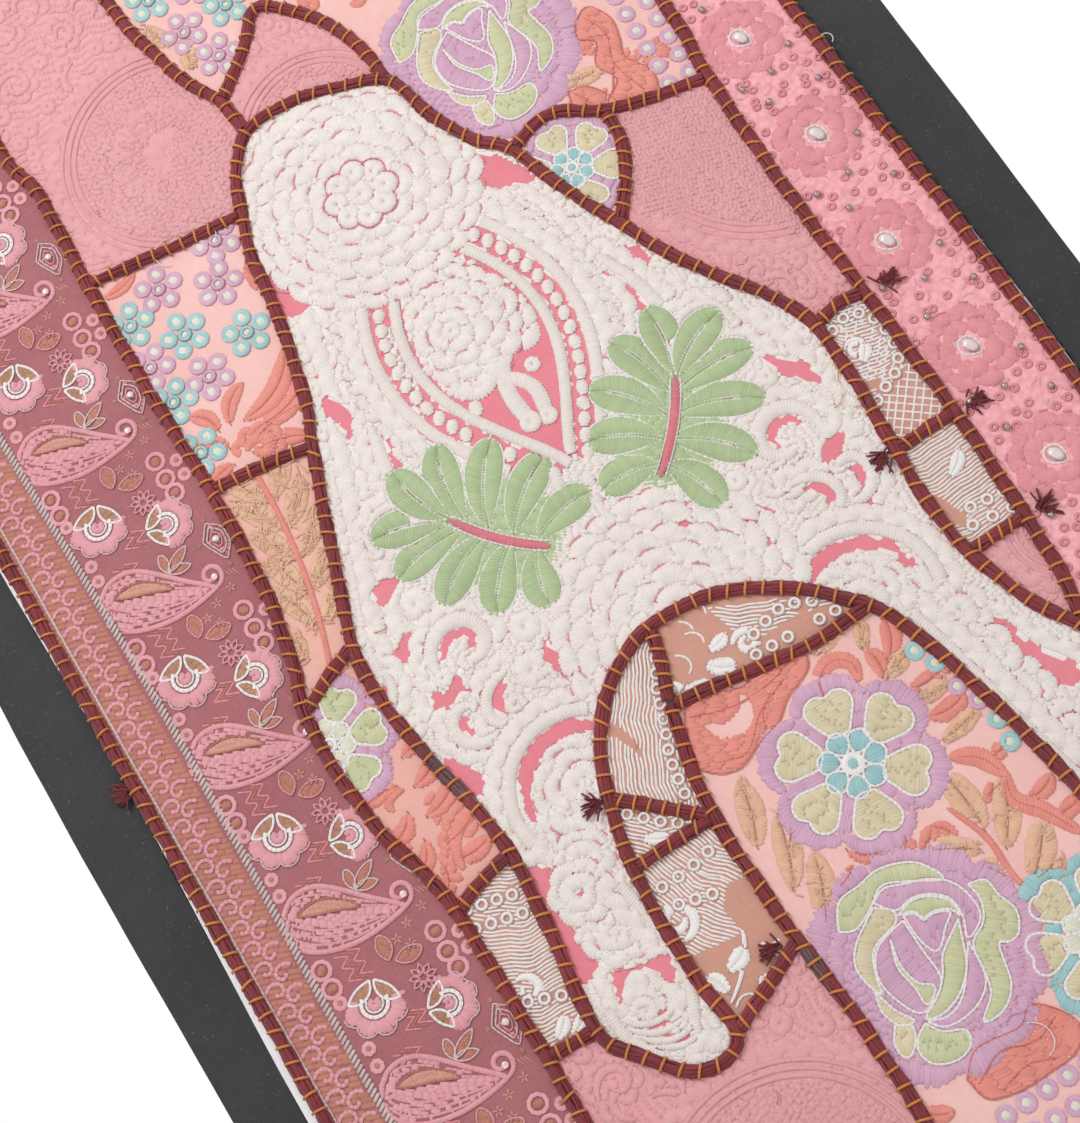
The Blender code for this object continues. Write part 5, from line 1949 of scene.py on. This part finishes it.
netLooks = {
    "net_arch_top": {
        "rings": [[(40, 589), (78, 592)], [(44, 581), (60, 578), (72, 583)]],
        "leaves": [((6, 584), (18, 590), 9), ((20, 580), (30, 588), 9), ((24, 576), (34, 574), 6),
            ((2, 592), (10, 597), 7)],
        "curls": [(-2, 580, -40, 26, 11, 4), (34, 580, -70, 30, 10, 4), (2, 598, -25, 34, 1, 1.6)],
        "within": [(34, 560), (96, 592), (84, 590), (60, 584), (40, 584)], "angle": 25, "bow": 3.0,
    },
    "net_arch_side": {
        "rings": [[(4, 566), (-3, 578), (-8, 592), (-14, 606), (-17, 622)]], "leaves": [],
        "within": None, "angle": 118, "bow": 4.0,
    },
    "net_arch_wedge": {"rings": [[(-42, 616), (-30, 628), (-20, 635)]],
        "leaves": [((-42, 628), (-32, 634), 6)], "within": None, "angle": 40, "bow": 3.0},
    "net_arch_low": {
        "rings": [[(-46, 650), (-34, 650), (-22, 648)], [(-44, 660), (-30, 664)]],
        "leaves": [((-42, 694), (-31, 690), 8), ((-24, 700), (-20, 690), 8), ((-34, 704), (-22, 708), 8),
            ((-46, 702), (-50, 692), 7), ((-14, 690), (-8, 680), 7)],
        "curls": [(-50, 674, 10, 44, -7, 5), (-26, 672, -120, 22, 14, 4), (-48, 706, -30, 44, -1, 1.6)],
        "within": [(-60, 640), (0, 630), (0, 672), (-30, 684), (-60, 680)], "angle": 60, "bow": 5.0,
    },
    "net_left": {
        "rings": [[(-120, 613), (-94, 620)], [(-121, 622), (-94, 629)], [(-118, 660), (-98, 668)]],
        "leaves": [((-116, 680), (-108, 673), 6), ((-110, 682), (-100, 676), 6)],
        "curls": [(-118, 650, -20, 26, 9, 4)],
        "within": None, "angle": 20, "bow": 6.0,
    },
    "net_right_high": {
        "rings": [[(146, 486), (154, 484), (162, 488), (165, 498), (164, 508), (160, 516), (152, 520),
                (144, 524)]],
        "leaves": [((148, 506), (154, 499), 6)], "curls": [(146, 496, -60, 34, 13, 2.4)],
        "within": [(138, 478), (170, 478), (170, 516), (138, 522)],
        "angle": 20, "bow": 7.0, "lattice": True,
    },
    "net_right_low": {
        "rings": [[(142, 585), (165, 588)], [(146, 593), (164, 596)]],
        "leaves": [((150, 570), (160, 562), 6)],
        "within": None, "angle": 2, "bow": 1.0,
    },
    "net_top": {
        "rings": [[(-30, 60), (150, 60)], [(-30, 100), (150, 118)]],
        "leaves": [((x, 86), (x + 12, 78), 9) for x in range(-30, 150, 24)],
        "within": [(-50, 112), (180, 128), (180, 160), (-50, 130)], "angle": 4, "bow": 5.0,
    },
}


def sewNet(patch):
    takeUp(patch)
    look = netLooks[patch]
    for path in look["rings"]:
        places, _, _ = along(smoothPath(path, 2.0), 6.7)
        rings("clear", places, 5.8, 1.1)
    settle(0.5)
    for base, tip, wide in look["leaves"]:
        leaf("clear", base, tip, wide, 0.08, slant=0.5, high=1.0, gap=0.7)
    for x, drop, heading, length, bend, wide in look.get("curls", ()):
        satin("clear", curlPath((x, drop), heading, length, bend, 1.2), tapered(wide, 0.4), high=1.0,
            gap=0.8)
    within = wholePatch() if look["within"] is None else stencilOf(look["within"])
    hatch("clear", within, look["angle"], 1.7, 4.6, 0.95, 0.6, bow=look["bow"], wobble=0.55, join=1.4,
        gap=0.3)
    if look.get("lattice"):
        for angle in (40, 130):
            hatch("clear", wholePatch(), angle, 3.6, 9.0, 0.9, 0.6, join=1.0)
        settle(0.3)
    for place in freePlaces(8.0, 2.2):
        path = curlPath(place, vary(0, 360), vary(8, 16), rng.choice([-1, 1]) * 8, 0.8)
        stem("clear", path, 1.0, gap=1.0)


# The patches above and below that carry on the same work

def sewCorner():
    takeUp("floral_corner")
    for k, (colour, x, drop) in enumerate((("cyan", -104, 56), ("purple", -82, 62), ("cyan", -62, 54),
            ("purple", -98, 82), ("cyan", -74, 84))):
        bunch(colour, (x, drop), 8.4, 15 * k)
    fillCurls("coral", 10.0, 3.0, (16, 26), 6.5, rim=6.0)


def sewClusterLow():
    takeUp("cluster_low")
    colours = ("purple", "cyan")
    for k, (x, drop) in enumerate((x, d) for d in (868, 893, 918, 943) for x in (-106, -80, -54, -28)):
        bunch(colours[(k + k // 4) % 2], (x + 6 * (k // 4 % 2), drop), 8.4, 11 * k)
    fillCurls("coral", 10.0, 3.0, (14, 22), 5.5, rim=5.0)


def sewTanLow():
    takeUp("tan_leaf_low")
    for top, foot in (((22, 872), (34, 956)), ((98, 880), (112, 956))):
        sewTanLeft(top, foot, False)


# Sewing order

sequins, gems = [], []
beadPlaces = {"oval": [], "round": []}


def finishPiece(piece, name=None):
    mesh = placeShapes(piece, base["stitch"])
    addPiece(name or piece + "_stitches", mesh, patchSlots[piece])
    print(name or piece, len(mesh.polygons), "faces of stitching")


def sewMauve():
    # in two pieces, above and below a paisley
    piece = mauveStrip["piece"]
    takeUp(piece)
    mauveBand()
    finishPiece(piece, piece + "_band_stitches")
    for half, rows in (("high", range(-4, 2)), ("low", range(2, 9))):
        for k in rows:
            mauveRepeat(mauveStrip["across"], mauveStrip["first"] + mauveStrip["pitch"] * k)
        finishPiece(piece, piece + "_" + half + "_stitches")


sewFigure()
finishPiece("figure_white")
sewMauve()
roseStripStitches()
sewRoseFans()
sewTop()
sewArch()
sewClusterLeft()
sewPetalRight()
sewCoralLeft()
takeUp("tan_leaf_left")
sewTanLeft()
sewCorner()
sewClusterLow()
sewTanLow()
for name in netLooks:
    sewNet(name)
for piece in list(laid):
    if piece in patchSlots:
        finishPiece(piece)


def beadPiece(name, slot, under, rows):
    # beads: material, place, length, width, height, turn
    takeUp(name)
    for material, place, long, wide, high, turn in rows:
        lay(material, "bead", place[0], place[1], radians(turn), long, wide, high)
    addPiece(name, placeShapes(name, cloth["patch"][1] + under), slot)


beadPiece("strip_rose_beads", "rose_sari", 0.0,
          [("pearl", p, 8.0, 5.2, 3.0, 60) for p in beadPlaces["oval"]]
          + [("steelBead", p, 3.2, 3.2, 2.6, 0) for p in beadPlaces["round"]])
beadPiece("strip_mauve_sequins", "mauve_sari", 0.6,
          [("pearl", p, 3.6, 3.2, 1.6, 30) for p in gems] + [("sequin", p, 3.4, 3.4, 0.7, 0)
              for p in sequins])
print("beads and sequins")


tufts = {  # where cut ends of yarn stick out, and which way, in degrees
    "places": [(-20, 697, 200), (176, 480, 10), (176, 547, 20), (173, 603, 350), (133, 547, 170),
               (-49, 606, 190), (-219, 487, 190)],
    "hairs": 26, "reach": (4.0, 9.0),
}
looseThreads = [  # colour, start, heading, length, bend
    ("clear", (-84, 276), -60, 26, 5), ("clear", (-78, 268), 200, 22, -7), ("clear", (-66, 272), -20, 18,
        8),
    ("gold", (-56, 350), 80, 9, 8), ("gold", (-93, 487), 60, 8, -9), ("gold", (134, 512), 100, 9, 8),
    ("gold", (133, 520), 60, 8, -9), ("gold", (-51, 744), 80, 7, 8), ("gold", (-38, 614), 60, 6, 9),
    ("clear", (46, 776), 10, 22, 6), ("purple", (44, 770), 40, 18, -6), ("clear", (216, 330), -40, 16, 12),
    ("clear", (219, 372), 200, 18, 14), ("gold", (139, 498), 95, 12, 3), ("gold", (-22, 590), 100, 5, 4),
]


def addTufts():
    takeUp("tufts")
    for x, drop, heading in tufts["places"]:
        count = tufts["hairs"]
        turn = np.radians(heading + rng.normal(0, 34, count))
        reach = vary(*tufts["reach"], count)
        way = waysOf(turn)
        start = np.array([x, drop]) + rng.normal(0, 1.3, (count, 2))
        middle = start + way * reach[:, None] / 2
        lay("maroon", "thread", *middle.T, turn, reach, 0.9, vary(0.8, 2.4, count),
            vary(0, 1.6, count))
    addPiece("cord_tufts", placeShapes("tufts", base["cord"]), "maroon_yarn")


def addLooseThreads():
    takeUp("loose")
    for colour, start, heading, length, bend in looseThreads:
        path = curlPath(start, heading, length, bend, 0.6)
        places, _, share = along(path, 1.6)
        way = np.diff(places, axis=0)
        middle = (places[1:] + places[:-1]) / 2
        lay(colour, "thread", *middle.T, np.arctan2(way[:, 1], way[:, 0]), 2.1, 0.45, 0.5, 0.5 + 1.2
            * np.sin(pi * share[1:]))
    addPiece("loose_threads", placeShapes("loose", base["top"]), "white_embroidery")


addTufts()
addLooseThreads()
print("loose ends")


# Camera, light and floor

view = {"distance": 1.128, "below": 20.0, "turn": 57.0, "across": -0.015, "up": -0.5, "lens": 83.35}


def setCamera():
    below, turn = radians(view["below"]), radians(view["turn"])
    ahead = Vector((0, cos(below), sin(below)))
    down = Vector((0, sin(below), -cos(below)))
    right = Vector((1, 0, 0))
    cameraX = right * sin(turn) + down * cos(turn)
    cameraY = right * cos(turn) - down * sin(turn)
    aim = Vector((view["across"], 0, view["up"]))
    data = bpy.data.cameras.new("camera")
    data.lens = view["lens"]
    data.sensor_width = 36.0
    data.clip_start, data.clip_end = 0.05, 50.0
    camera = bpy.data.objects.new("camera", data)
    bpy.context.scene.collection.objects.link(camera)
    turned = Matrix((cameraX, cameraY, -ahead)).transposed().to_4x4()
    camera.matrix_world = Matrix.Translation(aim - ahead * view["distance"]) @ turned
    bpy.context.scene.camera = camera


lamps = {  # place, aim, size, power
    "key": ((-0.45, -1.3, 0.55), (0, 0, -0.45), 0.7, 17.0),
    "fill": ((0.9, -1.2, -0.9), (0, 0, -0.5), 1.2, 3.0),
    "back": ((0.2, 1.6, 0.3), (0, 0, -0.5), 1.4, 14.0),
}


def setLight():
    for name, (place, aim, size, power) in lamps.items():
        data = bpy.data.lights.new(name, "AREA")
        data.size = size
        data.energy = power
        lamp = bpy.data.objects.new(name, data)
        bpy.context.scene.collection.objects.link(lamp)
        lamp.location = place
        lamp.rotation_euler = (Vector(aim) - Vector(place)).to_track_quat("-Z", "Y").to_euler()
    world = bpy.data.worlds.new("studio")
    bpy.context.scene.world = world
    world.use_nodes = True
    nodes, links = world.node_tree.nodes, world.node_tree.links
    light, seen = nodes["Background"], nodes.new("ShaderNodeBackground")
    light.inputs["Color"].default_value = (1, 0.99, 0.985, 1)
    light.inputs["Strength"].default_value = 0.5
    seen.inputs["Color"].default_value = (1, 1, 1, 1)
    path, mix = nodes.new("ShaderNodeLightPath"), nodes.new("ShaderNodeMixShader")
    links.new(path.outputs["Is Camera Ray"], mix.inputs[0])
    links.new(light.outputs[0], mix.inputs[1])
    links.new(seen.outputs[0], mix.inputs[2])
    links.new(mix.outputs[0], nodes["World Output"].inputs["Surface"])


def makeFloor():
    bm = bmesh.new()
    bmesh.ops.create_grid(bm, x_segments=1, y_segments=1, size=6.0)
    bmesh.ops.translate(bm, verts=bm.verts, vec=(0, 0, -1.06))
    mesh = bpy.data.meshes.new("floor")
    bm.to_mesh(mesh)
    bm.free()
    material = bpy.data.materials.new("floor_pale")
    material.use_nodes = True
    shader = material.node_tree.nodes["Principled BSDF"]
    shader.inputs["Base Color"].default_value = (0.86, 0.86, 0.86, 1)
    shader.inputs["Roughness"].default_value = 0.9
    mesh.materials.append(material)
    floor = bpy.data.objects.new("floor", mesh)
    bpy.context.scene.collection.objects.link(floor)


setCamera()
setLight()
makeFloor()
bpy.context.scene.view_settings.view_transform = "Standard"
